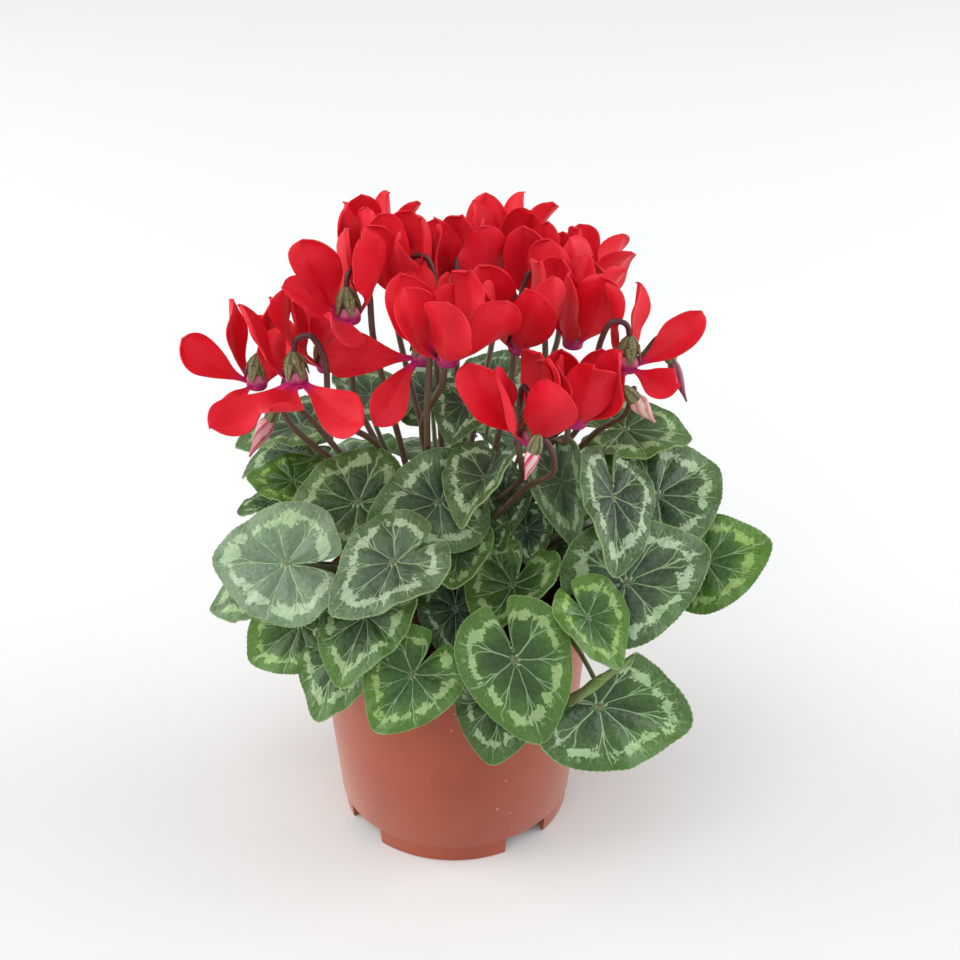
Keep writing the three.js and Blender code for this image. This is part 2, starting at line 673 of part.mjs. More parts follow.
// One petal: it leaves the mouth level, turns up to its lift and twists a little about its own line
function petalSolid(bloom, i, fan) {
  const lift = bloom.lift[i];
  const twist = (bloom.twists?.[i] ?? PETAL_TWIST) * RAD;
  const size = bloom.sizes?.[i] ?? 1;
  const out = new THREE.Vector3(Math.cos(fan * RAD), Math.sin(fan * RAD), 0);
  const across = new THREE.Vector3(-Math.sin(fan * RAD), Math.cos(fan * RAD), 0);
  const line = out.clone().multiplyScalar(CLAW_REACH).setZ(0.8);
  const points = [];
  const triangles = [];
  PETAL_STATIONS.forEach((share, station) => {
    const angle = (station < 2 ? lift * FIRST_LIFT : lift + PETAL_CURL * share) * RAD;
    const way = out.clone().multiplyScalar(Math.cos(angle)).addScaledVector(UP, Math.sin(angle));
    const step = station === 0 ? 0 : share - PETAL_STATIONS[station - 1];
    line.addScaledVector(way, step * PETAL_LENGTH * size);
    const side = across.clone().applyAxisAngle(way, -twist * Math.min(1, share / TWIST_SHARE));
    const up = way.clone().cross(side);
    const half = petalHalfWidth(share) * size;
    [-1, 0, 1].forEach((column) => {
      const point = line.clone().addScaledVector(side, column * half);
      if (column !== 0) point.addScaledVector(up, PETAL_HOLLOW * half);
      if (column !== 0 && share === 1) point.addScaledVector(way, -PETAL_TIP.rounding);
      points.push(point);
    });
    if (station === 0) return;
    [0, 1].forEach((column) => {
      const a = 3 * (station - 1) + column;
      triangles.push([a, a + 3, a + 1]);
      triangles.push([a + 1, a + 3, a + 4]);
    });
  });
  return thicken(points, triangles, PETAL_THICKNESS);
}

// The corolla: the short tube, open at its mouth, with its five petals
function corollaSolid(bloom) {
  const profile = [
    [0, TUBE_HEIGHT - 2],
    [MOUTH_RADIUS - 1, -0.5],
    [MOUTH_RADIUS + 0.7, -0.4],
    [TUBE_RADIUS, 2.4],
    [TUBE_RADIUS - 0.7, TUBE_HEIGHT],
    [0, TUBE_HEIGHT],
  ];
  const fans = bloom.fans ?? PETAL_FANS.map((fan) => fan + bloom.spin);
  const turn = (bloom.spin + 90) * RAD + Math.PI / TUBE_SIDES;
  return fans.reduce(
    (whole, fan, i) => whole.add(petalSolid(bloom, i, fan)),
    solidOf(turned(profile, TUBE_SIDES).rotateZ(turn)),
  );
}

// The calyx: a rounded cap over the closed end of the tube
function calyxGeometry() {
  const low = TUBE_HEIGHT + GAP;
  const profile = [
    [0, low],
    [TUBE_RADIUS - 0.6, low],
    [TUBE_RADIUS - 1.2, low + CALYX_HEIGHT / 2],
    [STALK_RADIUS + 0.5, low + CALYX_HEIGHT],
    [0, low + CALYX_HEIGHT],
  ];
  return turned(profile, CALYX_SIDES);
}

// A stalk through the given places, with rings between the first few, which lie far apart
function stalkSolid(places) {
  const curve = new THREE.CatmullRomCurve3(places);
  const last = places.length - 1;
  const stations = [0, 0.9];
  for (let k = 2; k <= last; k += 1) stations.push(k);
  const points = stations.map((k) => curve.getPoint(k / last));
  return tube(points, points.map(() => STALK_RADIUS), STALK_SIDES);
}

// Where a stalk starts on its trunk: on the side that its bloom or bud is
function trunkFoot({ at, trunk }) {
  const [x, y] = TRUNKS[trunk];
  const way = new THREE.Vector3(at[0] - x, at[1] - y, 0).setLength(FOOT_SPREAD);
  return way.add(new THREE.Vector3(x, y, CROWN_TOP + GAP + TRUNK_HEIGHT / 2));
}

// The stalk and the calyx of one bloom, in one piece
function bloomStalkSolid(bloom) {
  const frame = bloomFrame(bloom);
  const spin = bloom.spin * RAD;
  const hook = HOOK.map(([reach, height]) =>
    new THREE.Vector3(reach * Math.cos(spin), reach * Math.sin(spin), height).applyMatrix4(frame),
  ).reverse();
  const foot = trunkFoot(bloom);
  const via = (bloom.via ?? []).map(vector);
  const climb = foot.clone().lerp(via[0] ?? hook[0], CLIMB_SHARE);
  climb.z += CLIMB_RISE;
  const stalk = stalkSolid([foot, climb, ...via, ...hook]);
  return stalk.add(solidOf(calyxGeometry().applyMatrix4(frame)));
}

// The frame of a bud: Z from its calyx to its tip
function budFrame(bud) {
  const way = vector(bud.tip).sub(vector(bud.at));
  const turn = new THREE.Quaternion().setFromUnitVectors(UP, way.clone().normalize());
  const frame = new THREE.Matrix4().makeRotationFromQuaternion(turn).setPosition(vector(bud.at));
  return { length: way.length(), frame };
}

// The closed petals of a bud, wound round each other
function budSolid(bud) {
  const { length, frame } = budFrame(bud);
  const points = [];
  const faces = [];
  const around = 2 * BUD_SIDES;
  for (const [share, size] of BUD_STATIONS) {
    for (let k = 0; k < around; k += 1) {
      const angle = (k / around) * 2 * Math.PI + BUD_TURN * RAD * share;
      const radius = BUD_RADIUS * size * (k % 2 ? 0.8 : 1);
      const height = GAP + share * (length - GAP);
      const point = new THREE.Vector3(radius * Math.cos(angle), radius * Math.sin(angle), height);
      points.push(point.applyMatrix4(frame));
    }
  }
  const last = (BUD_STATIONS.length - 1) * around;
  for (let i = 0; i < BUD_STATIONS.length - 1; i += 1) {
    for (let k = 0; k < around; k += 1) {
      const a = i * around + k;
      const b = i * around + ((k + 1) % around);
      faces.push(a, b, b + around);
      faces.push(a, b + around, a + around);
    }
  }
  for (let k = 1; k < around - 1; k += 1) {
    faces.push(0, k + 1, k);
    faces.push(last, last + k, last + k + 1);
  }
  return solidFrom(points, faces);
}

// The stalk and the small calyx of one bud
function budStalkSolid(bud) {
  const { frame } = budFrame(bud);
  const foot = trunkFoot(bud);
  const course = bud.course.map(vector);
  const end = new THREE.Vector3(0, 0, -1).applyMatrix4(frame);
  const climb = foot.clone().lerp(course[0], CLIMB_SHARE);
  climb.z += CLIMB_RISE / 2;
  const stalk = stalkSolid([foot, climb, ...course, end]);
  const calyx = turned([[0, -4], [1.3, -3.6], [2.4, -1], [2.2, 0], [0, 0]], CALYX_SIDES);
  return stalk.add(solidOf(calyx.applyMatrix4(frame)));
}

// All the stalks that grow from one short trunk on the crown
function trunkSolid(trunk) {
  const [x, y] = TRUNKS[trunk];
  const low = CROWN_TOP + GAP;
  const profile = [
    [0, low],
    [TRUNK_RADIUS, low],
    [TRUNK_RADIUS - 0.6, low + 0.7 * TRUNK_HEIGHT],
    [0, low + TRUNK_HEIGHT],
  ];
  const mine = (items) => Object.values(items).filter((item) => item.trunk === trunk);
  const stalks = [...mine(BLOOMS).map(bloomStalkSolid), ...mine(BUDS).map(budStalkSolid)];
  const knob = solidOf(turned(profile, TRUNK_SIDES).translate(x, y, 0));
  return stalks.reduce((whole, stalk) => whole.add(stalk), knob);
}

const cyclamen = new THREE.Group();
cyclamen.add(meshOf("pot", potSolid(), "pot"));
cyclamen.add(meshOf("peat", peatSolid(), "peat"));
cyclamen.add(meshOf("tuber", tuberSolid(), "tuber"));
for (const trunk of Object.keys(TRUNKS)) {
  cyclamen.add(meshOf(`stalks_${trunk}`, trunkSolid(trunk), "stalk"));
}
for (const [name, leaf] of Object.entries({ ...LEAVES, ...backLeaves() })) {
  cyclamen.add(meshOf(name, leafSolid(leaf), "leaf"));
}
for (const [name, bloom] of Object.entries(BLOOMS)) {
  const mesh = meshOf(`bloom_${name}`, corollaSolid(bloom), "petal");
  mesh.applyMatrix4(bloomFrame(bloom));
  cyclamen.add(mesh);
}
for (const [name, bud] of Object.entries(BUDS)) {
  cyclamen.add(meshOf(`bud_${name}`, budSolid(bud), "bud"));
}

export default cyclamen;
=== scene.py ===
"""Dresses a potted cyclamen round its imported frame: marbled leaves, swept-back blooms, buds and pot."""

import logging
import math
from dataclasses import dataclass, field
from enum import Enum
from typing import Dict, List, Optional, Sequence, Tuple

import bpy
from mathutils import Matrix, Quaternion, Vector


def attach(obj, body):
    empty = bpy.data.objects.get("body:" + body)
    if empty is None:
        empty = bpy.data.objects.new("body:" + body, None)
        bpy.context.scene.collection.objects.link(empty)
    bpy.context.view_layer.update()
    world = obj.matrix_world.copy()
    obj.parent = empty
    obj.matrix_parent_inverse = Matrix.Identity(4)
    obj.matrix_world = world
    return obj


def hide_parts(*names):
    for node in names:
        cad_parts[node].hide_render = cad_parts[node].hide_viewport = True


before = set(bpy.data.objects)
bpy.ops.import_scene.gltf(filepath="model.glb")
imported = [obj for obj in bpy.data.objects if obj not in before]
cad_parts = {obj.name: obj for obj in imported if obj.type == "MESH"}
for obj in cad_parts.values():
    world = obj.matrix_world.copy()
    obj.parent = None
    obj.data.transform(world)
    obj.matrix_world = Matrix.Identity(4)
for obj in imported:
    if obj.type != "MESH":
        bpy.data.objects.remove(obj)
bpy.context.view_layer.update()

LOG = logging.getLogger("cyclamen")
MM = 0.001
UP = Vector((0.0, 0.0, 1.0))
SEPALS = 5
Point = Tuple[float, float, float]
Profile = Sequence[Tuple[float, float]]
Colour = Tuple[int, int, int]
Socket = bpy.types.NodeSocket


# Small arithmetic

def smoothstep(low: float, high: float, value: float) -> float:
    """Rises smoothly from 0 at low to 1 at high."""
    share = min(1.0, max(0.0, (value - low) / (high - low)))
    return share * share * (3 - 2 * share)


def linear(colour: Colour) -> Tuple[float, float, float, float]:
    """Turns a screen colour of 0 to 255 a channel into the renderer's own scale.

    Args:
        colour: The red, green and blue of the screen.

    Returns:
        The colour in the renderer's scale, fully opaque.
    """
    def one(value: float) -> float:
        """Turns one channel."""
        share = value / 255
        return share / 12.92 if share <= 0.04045 else ((share + 0.055) / 1.055) ** 2.4
    red, green, blue = colour
    return one(red), one(green), one(blue), 1.0


def catmull(points: Sequence[Vector], steps: int) -> List[Vector]:
    """Points along the centripetal curve that passes through all the given places.

    Args:
        points: The places, at least three.
        steps: The number of stretches between two neighbouring places.

    Returns:
        The points of the curve, the first and the last place among them.
    """
    ahead = points[0] * 2 - points[1]
    beyond = points[-1] * 2 - points[-2]
    row = [ahead, *points, beyond]
    made = []
    for i in range(len(points) - 1):
        p0, p1, p2, p3 = row[i:i + 4]
        d0 = max((p1 - p0).length ** 0.5, 1e-4)
        d1 = max((p2 - p1).length ** 0.5, 1e-4)
        d2 = max((p3 - p2).length ** 0.5, 1e-4)
        t1 = ((p1 - p0) / d0 - (p2 - p0) / (d0 + d1) + (p2 - p1) / d1) * d1
        t2 = ((p2 - p1) / d1 - (p3 - p1) / (d1 + d2) + (p3 - p2) / d2) * d1
        for k in range(steps):
            t = k / steps
            made.append(
                p1
                + t1 * t
                + (p2 * 3 - p1 * 3 - t1 * 2 - t2) * t ** 2
                + (p1 * 2 - p2 * 2 + t1 + t2) * t ** 3
            )
    return made + [points[-1].copy()]


# Workbench: what is done by hand in the editor

def deselect() -> None:
    """Leaves nothing selected."""
    if bpy.context.mode != "OBJECT":
        bpy.ops.object.mode_set(mode="OBJECT")
    bpy.ops.object.select_all(action="DESELECT")


def take(*pieces: bpy.types.Object) -> None:
    """Selects some pieces alone and makes the first one active.

    Args:
        pieces: The pieces.
    """
    deselect()
    for piece in pieces:
        piece.select_set(True)
    bpy.context.view_layer.objects.active = pieces[0]


def apply_modifier(piece: bpy.types.Object, kind: str, **settings: object) -> None:
    """Adds a modifier and applies it.

    Args:
        piece: The piece to change.
        kind: The modifier's type.
        settings: Its settings by name.
    """
    take(piece)
    made = piece.modifiers.new(kind.lower(), kind)
    for name, value in settings.items():
        setattr(made, name, value)
    bpy.ops.object.modifier_apply(modifier=made.name)


def join(pieces: Sequence[bpy.types.Object], name: str) -> bpy.types.Object:
    """Joins several pieces into the first one and names it.

    Args:
        pieces: The pieces.
        name: The name of the whole.

    Returns:
        The whole.
    """
    take(*pieces)
    if len(pieces) > 1:
        bpy.ops.object.join()
    pieces[0].name = name
    pieces[0].data.name = name
    return pieces[0]


def soften(piece: bpy.types.Object, degrees: float = 40) -> None:
    """Shades a piece smooth but for its edges sharper than an angle."""
    take(piece)
    bpy.ops.object.shade_smooth_by_angle(angle=math.radians(degrees))


def put_in_scene(name: str, data: bpy.types.ID) -> bpy.types.Object:
    """Adds a mesh, a curve, a lamp or a camera to the scene.

    Args:
        name: The object's name.
        data: What it shows.

    Returns:
        The object.
    """
    made = bpy.data.objects.new(name, data)
    bpy.context.collection.objects.link(made)
    return made


def flat_grid(name: str, columns: int, rows: int) -> bpy.types.Object:
    """Adds a flat square grid, 1 long and 1 wide, round the origin.

    Args:
        name: The piece's name.
        columns: The number of faces along X.
        rows: The number of faces along Y.

    Returns:
        The grid.
    """
    deselect()
    bpy.ops.mesh.primitive_grid_add(x_subdivisions=columns, y_subdivisions=rows, size=1)
    piece = bpy.context.active_object
    piece.name = name
    return piece


def copy_of(pattern: bpy.types.Object, name: str) -> bpy.types.Object:
    """Copies a piece with a mesh of its own."""
    return put_in_scene(name, pattern.data.copy())


def paint(piece: bpy.types.Object, *materials: bpy.types.Material, slot: int = 0) -> None:
    """Gives a piece its materials and puts all its faces in one slot.

    Args:
        piece: The piece to paint.
        materials: Its materials, in the order of its slots.
        slot: The slot of its faces.
    """
    piece.data.materials.clear()
    for material in materials:
        piece.data.materials.append(material)
    piece.data.polygons.foreach_set("material_index", [slot] * len(piece.data.polygons))


def set_in(piece: bpy.types.Object, place: Matrix) -> None:
    """Moves the corners of a piece that was made at the origin to a place in millimetres."""
    for corner in piece.data.vertices:
        corner.co = (place @ (corner.co / MM)) * MM


def write_values(piece: bpy.types.Object, name: str, values: Sequence[float]) -> None:
    """Stores one number for each corner point of a piece."""
    layer = piece.data.attributes.get(name) or piece.data.attributes.new(name, "FLOAT", "POINT")
    layer.data.foreach_set("value", list(values))


def read_values(piece: bpy.types.Object, name: str) -> List[float]:
    """Reads the numbers that write_values stored.

    Args:
        piece: The piece.
        name: The name of the numbers.

    Returns:
        One number for each corner point.
    """
    layer = piece.data.attributes[name]
    values = [0.0] * len(piece.data.vertices)
    layer.data.foreach_get("value", values)
    return values


def turned(name: str, profile: Profile, sides: int) -> bpy.types.Object:
    """Models a round piece about Z: a circle that is drawn out and resized ring by ring.

    Args:
        name: The piece's name.
        profile: Radius and height of each ring in millimetres, outside first, so that faces point out.
        sides: The number of sides of every ring.

    Returns:
        The piece, with a level cap on its first and its last ring.
    """
    deselect()
    radius, height = profile[0]
    bpy.ops.mesh.primitive_circle_add(
        vertices=sides, radius=radius * MM, fill_type="NOTHING", location=(0, 0, height * MM)
    )
    piece = bpy.context.active_object
    piece.name = name
    bpy.ops.object.transform_apply(location=True, rotation=False, scale=False)
    bpy.ops.object.mode_set(mode="EDIT")
    bpy.ops.mesh.select_all(action="SELECT")
    bpy.ops.mesh.edge_face_add()
    bpy.ops.mesh.select_mode(type="EDGE")
    bpy.ops.mesh.select_all(action="SELECT")
    for (r0, z0), (r1, z1) in zip(profile, profile[1:]):
        bpy.ops.mesh.extrude_edges_move(TRANSFORM_OT_translate={"value": (0, 0, (z1 - z0) * MM)})
        share = r1 / r0
        bpy.ops.transform.resize(value=(share, share, 1), center_override=(0, 0, z1 * MM))
    bpy.ops.mesh.edge_face_add()
    bpy.ops.mesh.select_mode(type="VERT")
    bpy.ops.mesh.select_all(action="SELECT")
    bpy.ops.mesh.normals_make_consistent(inside=False)
    bpy.ops.object.mode_set(mode="OBJECT")
    return piece


def pipe(name: str, points: Sequence[Vector], radii: Sequence[float], bevel: int = 3) -> bpy.types.Object:
    """Models a closed pipe along points in millimetres, with a value "along" from 0 to 1.

    Args:
        name: The piece's name.
        points: The middle line.
        radii: The radius at each point in millimetres.
        bevel: How finely the pipe is rounded.

    Returns:
        The pipe as a mesh.
    """
    line = bpy.data.curves.new(name, "CURVE")
    line.dimensions = "3D"
    line.bevel_depth = MM
    line.bevel_resolution = bevel
    line.use_fill_caps = True
    spline = line.splines.new("POLY")
    spline.points.add(len(points) - 1)
    for knot, point, radius in zip(spline.points, points, radii):
        knot.co = (*(point * MM), 1)
        knot.radius = radius
    take(put_in_scene(name, line))
    bpy.ops.object.convert(target="MESH")
    piece = bpy.context.active_object
    around = len(piece.data.vertices) // len(points)
    last = len(points) - 1
    write_values(piece, "along", [(i // around) / last for i in range(len(piece.data.vertices))])
    bpy.ops.object.mode_set(mode="EDIT")
    bpy.ops.mesh.select_all(action="SELECT")
    bpy.ops.mesh.normals_make_consistent(inside=False)
    bpy.ops.object.mode_set(mode="OBJECT")
    return piece


def write_ridges(cup: bpy.types.Object) -> None:
    """Stores a value "ridge" on a cup round Z: 1 on five lines down its side, 0 between them."""
    turns = [math.atan2(corner.co.y, corner.co.x) for corner in cup.data.vertices]
    write_values(cup, "ridge", [abs(math.sin(SEPALS / 2 * turn)) for turn in turns])


# Shader board

class Board:
    """Adds and links the nodes of one material."""

    def __init__(self, name: str) -> None:
        """Starts a material with a bare Principled shader.

        Args:
            name: The material's name.
        """
        self.material = bpy.data.materials.new(name)
        self.material.use_nodes = True
        self.nodes = self.material.node_tree.nodes
        self.links = self.material.node_tree.links
        self.shader = self.nodes["Principled BSDF"]

    def set(self, **values: object) -> None:
        """Sets or links sockets of the shader, their names with underscores for blanks."""
        for name, value in values.items():
            self.put(self.shader.inputs[name.replace("_", " ")], value)

    def put(self, socket: Socket, value: object) -> None:
        """Links or sets a socket.

        Args:
            socket: The socket of a node.
            value: The socket to link to it, or the number or colour to set it to.
        """
        if isinstance(value, Socket):
            self.links.new(value, socket)
        else:
            socket.default_value = value

    def math(self, operation: str, *values: object, clamp: bool = False) -> Socket:
        """Adds a Math node.

        Args:
            operation: What the node does.
            values: Up to three numbers or sockets.
            clamp: Whether the result is kept between 0 and 1.

        Returns:
            The result.
        """
        node = self.nodes.new("ShaderNodeMath")
        node.operation = operation
        node.use_clamp = clamp
        for socket, value in zip(node.inputs, values):
            self.put(socket, value)
        return node.outputs[0]

    def plus(self, first: object, second: object) -> Socket:
        """The sum of two numbers or sockets."""
        return self.math("ADD", first, second)

    def minus(self, first: object, second: object) -> Socket:
        """The first number or socket less the second."""
        return self.math("SUBTRACT", first, second)

    def times(self, first: object, second: object) -> Socket:
        """The product of two numbers or sockets."""
        return self.math("MULTIPLY", first, second)

    def times_plus(self, first: object, second: object, third: object) -> Socket:
        """The product of the first two numbers or sockets, and the third added."""
        return self.math("MULTIPLY_ADD", first, second, third)

    def absolute(self, value: object) -> Socket:
        """A number or socket without its sign."""
        return self.math("ABSOLUTE", value)

    def off_whole(self, value: Socket) -> Socket:
        """How far a number is from the nearest whole one."""
        return self.absolute(self.minus(value, self.math("ROUND", value)))

    def step(self, value: object, low: object, high: object) -> Socket:
        """Rises smoothly from 0 to 1.

        Args:
            value: What it follows.
            low: Where it is 0.
            high: Where it is 1.

        Returns:
            The risen value.
        """
        node = self.nodes.new("ShaderNodeMapRange")
        node.interpolation_type = "SMOOTHSTEP"
        self.put(node.inputs["Value"], value)
        self.put(node.inputs["From Min"], low)
        self.put(node.inputs["From Max"], high)
        return node.outputs["Result"]

    def fall(self, value: object, low: object, high: object) -> Socket:
        """Falls smoothly from 1 at low to 0 at high."""
        return self.minus(1.0, self.step(value, low, high))

    def scaled(self, noise: Socket, swing: float) -> Socket:
        """Turns noise round 0.5 into a swing round 0."""
        return self.times(self.minus(noise, 0.5), swing)

    def mix(self, share: object, first: object, second: object, blend: str = "MIX") -> Socket:
        """Mixes two colours.

        Args:
            share: The share of the second one.
            first: A colour or its socket.
            second: A colour or its socket.
            blend: The way they are mixed.

        Returns:
            The mixed colour.
        """
        node = self.nodes.new("ShaderNodeMix")
        node.data_type = "RGBA"
        node.blend_type = blend
        self.put(node.inputs[0], share)
        self.put(node.inputs[6], first)
        self.put(node.inputs[7], second)
        return node.outputs[2]

    def shaded(self, colour: Socket, shade: Socket) -> Socket:
        """A colour made lighter or darker by a number round 1."""
        return self.mix(1.0, colour, self.vector(shade, shade, shade), "MULTIPLY")

    def value(self, name: str) -> Socket:
        """Reads the number that the piece stores under a name.

        Args:
            name: The name.

        Returns:
            The number.
        """
        node = self.nodes.new("ShaderNodeAttribute")
        node.attribute_name = name
        return node.outputs["Fac"]

    def place(self, scale: float) -> Socket:
        """Reads the place on the piece.

        Args:
            scale: How many units go into a metre.

        Returns:
            The place in those units.
        """
        source = self.nodes.new("ShaderNodeTexCoord")
        node = self.nodes.new("ShaderNodeMapping")
        self.put(node.inputs["Vector"], source.outputs["Object"])
        node.inputs["Scale"].default_value = (scale, scale, scale)
        return node.outputs[0]

    def vector(self, x: object, y: object, z: object) -> Socket:
        """Makes a vector.

        Args:
            x: Its first number or socket.
            y: Its second.
            z: Its third.

        Returns:
            The vector.
        """
        node = self.nodes.new("ShaderNodeCombineXYZ")
        for socket, value in zip(node.inputs, (x, y, z)):
            self.put(socket, value)
        return node.outputs[0]

    def noise(self, where: Socket, detail: float = 2, rough: float = 0.5) -> Socket:
        """Adds soft noise, one swell to a unit.

        Args:
            where: The place it is read at.
            detail: How many finer swells lie on it.
            rough: How strong the finer ones are.

        Returns:
            The noise, from 0 to 1.
        """
        node = self.nodes.new("ShaderNodeTexNoise")
        self.put(node.inputs["Vector"], where)
        node.inputs["Scale"].default_value = 1
        node.inputs["Detail"].default_value = detail
        node.inputs["Roughness"].default_value = rough
        return node.outputs["Fac"]

    def cells(self, where: Socket, feature: str = "F1") -> Socket:
        """Adds cells round scattered points, one to a unit.

        Args:
            where: The place they are read at.
            feature: What is measured, the distance from the point or from the cell's edge.

        Returns:
            The distance.
        """
        node = self.nodes.new("ShaderNodeTexVoronoi")
        node.feature = feature
        self.put(node.inputs["Vector"], where)
        node.inputs["Scale"].default_value = 1
        return node.outputs["Distance"]

    def bump(self, height: Socket, depth: float) -> None:
        """Raises the surface.

        Args:
            height: How far it is raised, from 0 to 1.
            depth: How much 1 is, in millimetres.
        """
        node = self.nodes.new("ShaderNodeBump")
        node.inputs["Strength"].default_value = 1
        node.inputs["Distance"].default_value = depth * MM
        self.put(node.inputs["Height"], height)
        self.put(self.shader.inputs["Normal"], node.outputs[0])


# Finishes

@dataclass(frozen=True)
class LeafFinish:
    """The upper face: dark middle, pale veins, a broken chain of silver blotches and a green rim."""

    middle: Colour = (27, 51, 28)
    middle_young: Colour = (44, 84, 16)
    rim: Colour = (52, 82, 34)
    rim_young: Colour = (76, 118, 24)
    silver: Colour = (168, 192, 158)
    silver_young: Colour = (148, 180, 92)
    veil: Colour = (118, 143, 114)
    vein: Colour = (148, 178, 130)
    notch: Colour = (92, 88, 50)
    edge: Colour = (124, 150, 92)
    chain_place: float = 0.73
    chain_width: float = 0.008

    def material(self) -> bpy.types.Material:
        """Builds the finish.

        Returns:
            The material.
        """
        board = Board("leaf_marbled")
        share, silver, tone = board.value("share"), board.value("silver"), board.value("tone")
        wander = board.noise(board.place(170))
        sway = board.scaled(wander, 0.5)
        phase = board.times_plus(sway, share, board.value("phase"))
        off = board.off_whole(phase)
        veins = self.veins(board, share, off)
        around = board.times_plus(board.value("seed"), 37.0, phase)
        chain = self.chain(board, share, off, around, silver)
        fine = board.noise(board.place(1500), detail=3, rough=0.6)
        cloud = board.noise(board.place(110))
        net = board.cells(board.place(330), "DISTANCE_TO_EDGE")
        drift = board.noise(board.place(26), detail=1)
        tone = board.math("ADD", tone, board.scaled(drift, 1.3), clamp=True)
        inner = board.mix(tone, linear(self.middle), linear(self.middle_young))
        outer = board.mix(tone, linear(self.rim), linear(self.rim_young))
        pale = board.mix(tone, linear(self.silver), linear(self.silver_young))
        ground = board.mix(board.step(board.plus(share, board.scaled(cloud, 0.5)), 0.3, 0.85), inner, outer)
        veil = board.times(board.step(board.plus(silver, board.scaled(cloud, 0.3)), 0.6, 1.1), 0.6)
        ground = board.mix(veil, ground, linear(self.veil))
        ground = board.mix(board.times(veins, 0.85), ground, linear(self.vein))
        ground = board.mix(board.times(board.fall(net, 0.0, 0.08), 0.06), ground, linear(self.vein))
        ground = board.mix(board.times(chain, 0.8), ground, pale)
        ground = board.mix(board.fall(share, 0.015, 0.07), ground, linear(self.notch))
        ground = board.mix(board.step(share, 0.982, 0.996), ground, linear(self.edge))
        shade = board.plus(board.scaled(cloud, 0.5), board.plus(board.scaled(fine, 0.3), 1.0))
        ground = board.shaded(ground, shade)
        rough = board.times_plus(fine, 0.24, 0.34)
        board.set(Base_Color=ground, Roughness=rough, Specular_IOR_Level=0.45, Sheen_Weight=0.05,
                  Sheen_Roughness=0.4)
        puffed = board.times(board.step(net, 0.0, 0.4), 0.35)
        sunk = board.times(veins, 0.55)
        relief = board.minus(board.times_plus(fine, 0.3, puffed), sunk)
        board.bump(relief, 0.55)
        return board.material

    def veins(self, board: Board, share: Socket, off: Socket) -> Socket:
        """The main veins, which fork past a third of their length and fade towards the edge.

        Args:
            board: The material's nodes.
            share: The distance from the notch.
            off: The distance from the next vein.

        Returns:
            1 on a vein, 0 away from it.
        """
        main = board.fall(board.times(off, share), 0.006, 0.03)
        branching = board.times(board.minus(share, 0.36), 0.72)
        branch = board.absolute(board.minus(off, branching))
        branch = board.fall(board.times(branch, share), 0.004, 0.024)
        branch = board.times(branch, board.step(share, 0.36, 0.42))
        branch = board.times(branch, board.fall(share, 0.7, 0.95))
        veins = board.math("MAXIMUM", main, board.times(branch, 0.75))
        return board.times(veins, board.fall(share, 0.8, 1.0))

    def chain(self, board: Board, share: Socket, off: Socket, around: Socket, silver: Socket) -> Socket:
        """The silver blotches: one or two between each two veins, frayed, with thin tongues to the rim.

        Args:
            board: The material's nodes.
            share: The distance from the notch.
            off: The distance from the next vein.
            around: The turn round the notch, different on each leaf.
            silver: How silvery the leaf is.

        Returns:
            1 where the leaf is silver.
        """
        swell = board.noise(board.vector(board.times(around, 0.9), share, 1.0), 1)
        place = board.times_plus(board.minus(swell, 0.5), 0.2, self.chain_place)
        blotch = board.noise(board.vector(board.times(around, 2.3), board.times(share, 4.0), 4.0), 1)
        streak = board.noise(board.vector(board.times(around, 10.0), board.times(share, 3.0), 9.0), 3, 0.65)
        grain = board.noise(board.place(900), detail=3, rough=0.65)
        width = board.plus(board.scaled(blotch, 0.42), board.times_plus(silver, 0.04, self.chain_width))
        width = board.times_plus(board.step(off, 0.04, 0.3), 0.03, width)
        width = board.plus(width, board.scaled(streak, 0.2))
        width = board.plus(width, board.scaled(grain, 0.19))
        away = board.absolute(board.minus(share, place))
        band = board.step(board.minus(width, away), -0.008, 0.02)
        tongue = board.step(streak, 0.57, 0.66)
        past = board.minus(share, place)
        tongue = board.times(tongue, board.step(past, -0.12, -0.03))
        tongue = board.times(tongue, board.fall(past, 0.08, 0.2))
        speckle = board.times(board.step(grain, 0.6, 0.68), board.step(past, 0.0, 0.08))
        speckle = board.times(speckle, board.times_plus(silver, 0.4, 0.1))
        made = board.math("MAXIMUM", band, board.times(tongue, 0.6))
        return board.math("MAXIMUM", made, speckle)


@dataclass(frozen=True)
class UndersideFinish:
    """The lower face of a leaf: plain light green with raised veins and a touch of purple."""

    ground: Colour = (112, 142, 72)
    purple: Colour = (120, 96, 84)
    vein: Colour = (150, 168, 104)

    def material(self) -> bpy.types.Material:
        """Builds the finish.

        Returns:
            The material.
        """
        board = Board("leaf_underside")
        share, phase = board.value("share"), board.value("phase")
        off = board.off_whole(phase)
        vein = board.fall(board.times(off, share), 0.008, 0.045)
        cloud = board.noise(board.place(160))
        fine = board.noise(board.place(1500))
        colour = board.mix(board.times(board.step(cloud, 0.45, 0.75), 0.4),
                           linear(self.ground), linear(self.purple))
        colour = board.mix(board.times(vein, 0.6), colour, linear(self.vein))
        board.set(Base_Color=colour, Roughness=board.times_plus(fine, 0.2, 0.42),
                  Specular_IOR_Level=0.35)
        board.bump(board.times_plus(fine, 0.3, board.times(vein, 0.8)), 0.35)
        return board.material


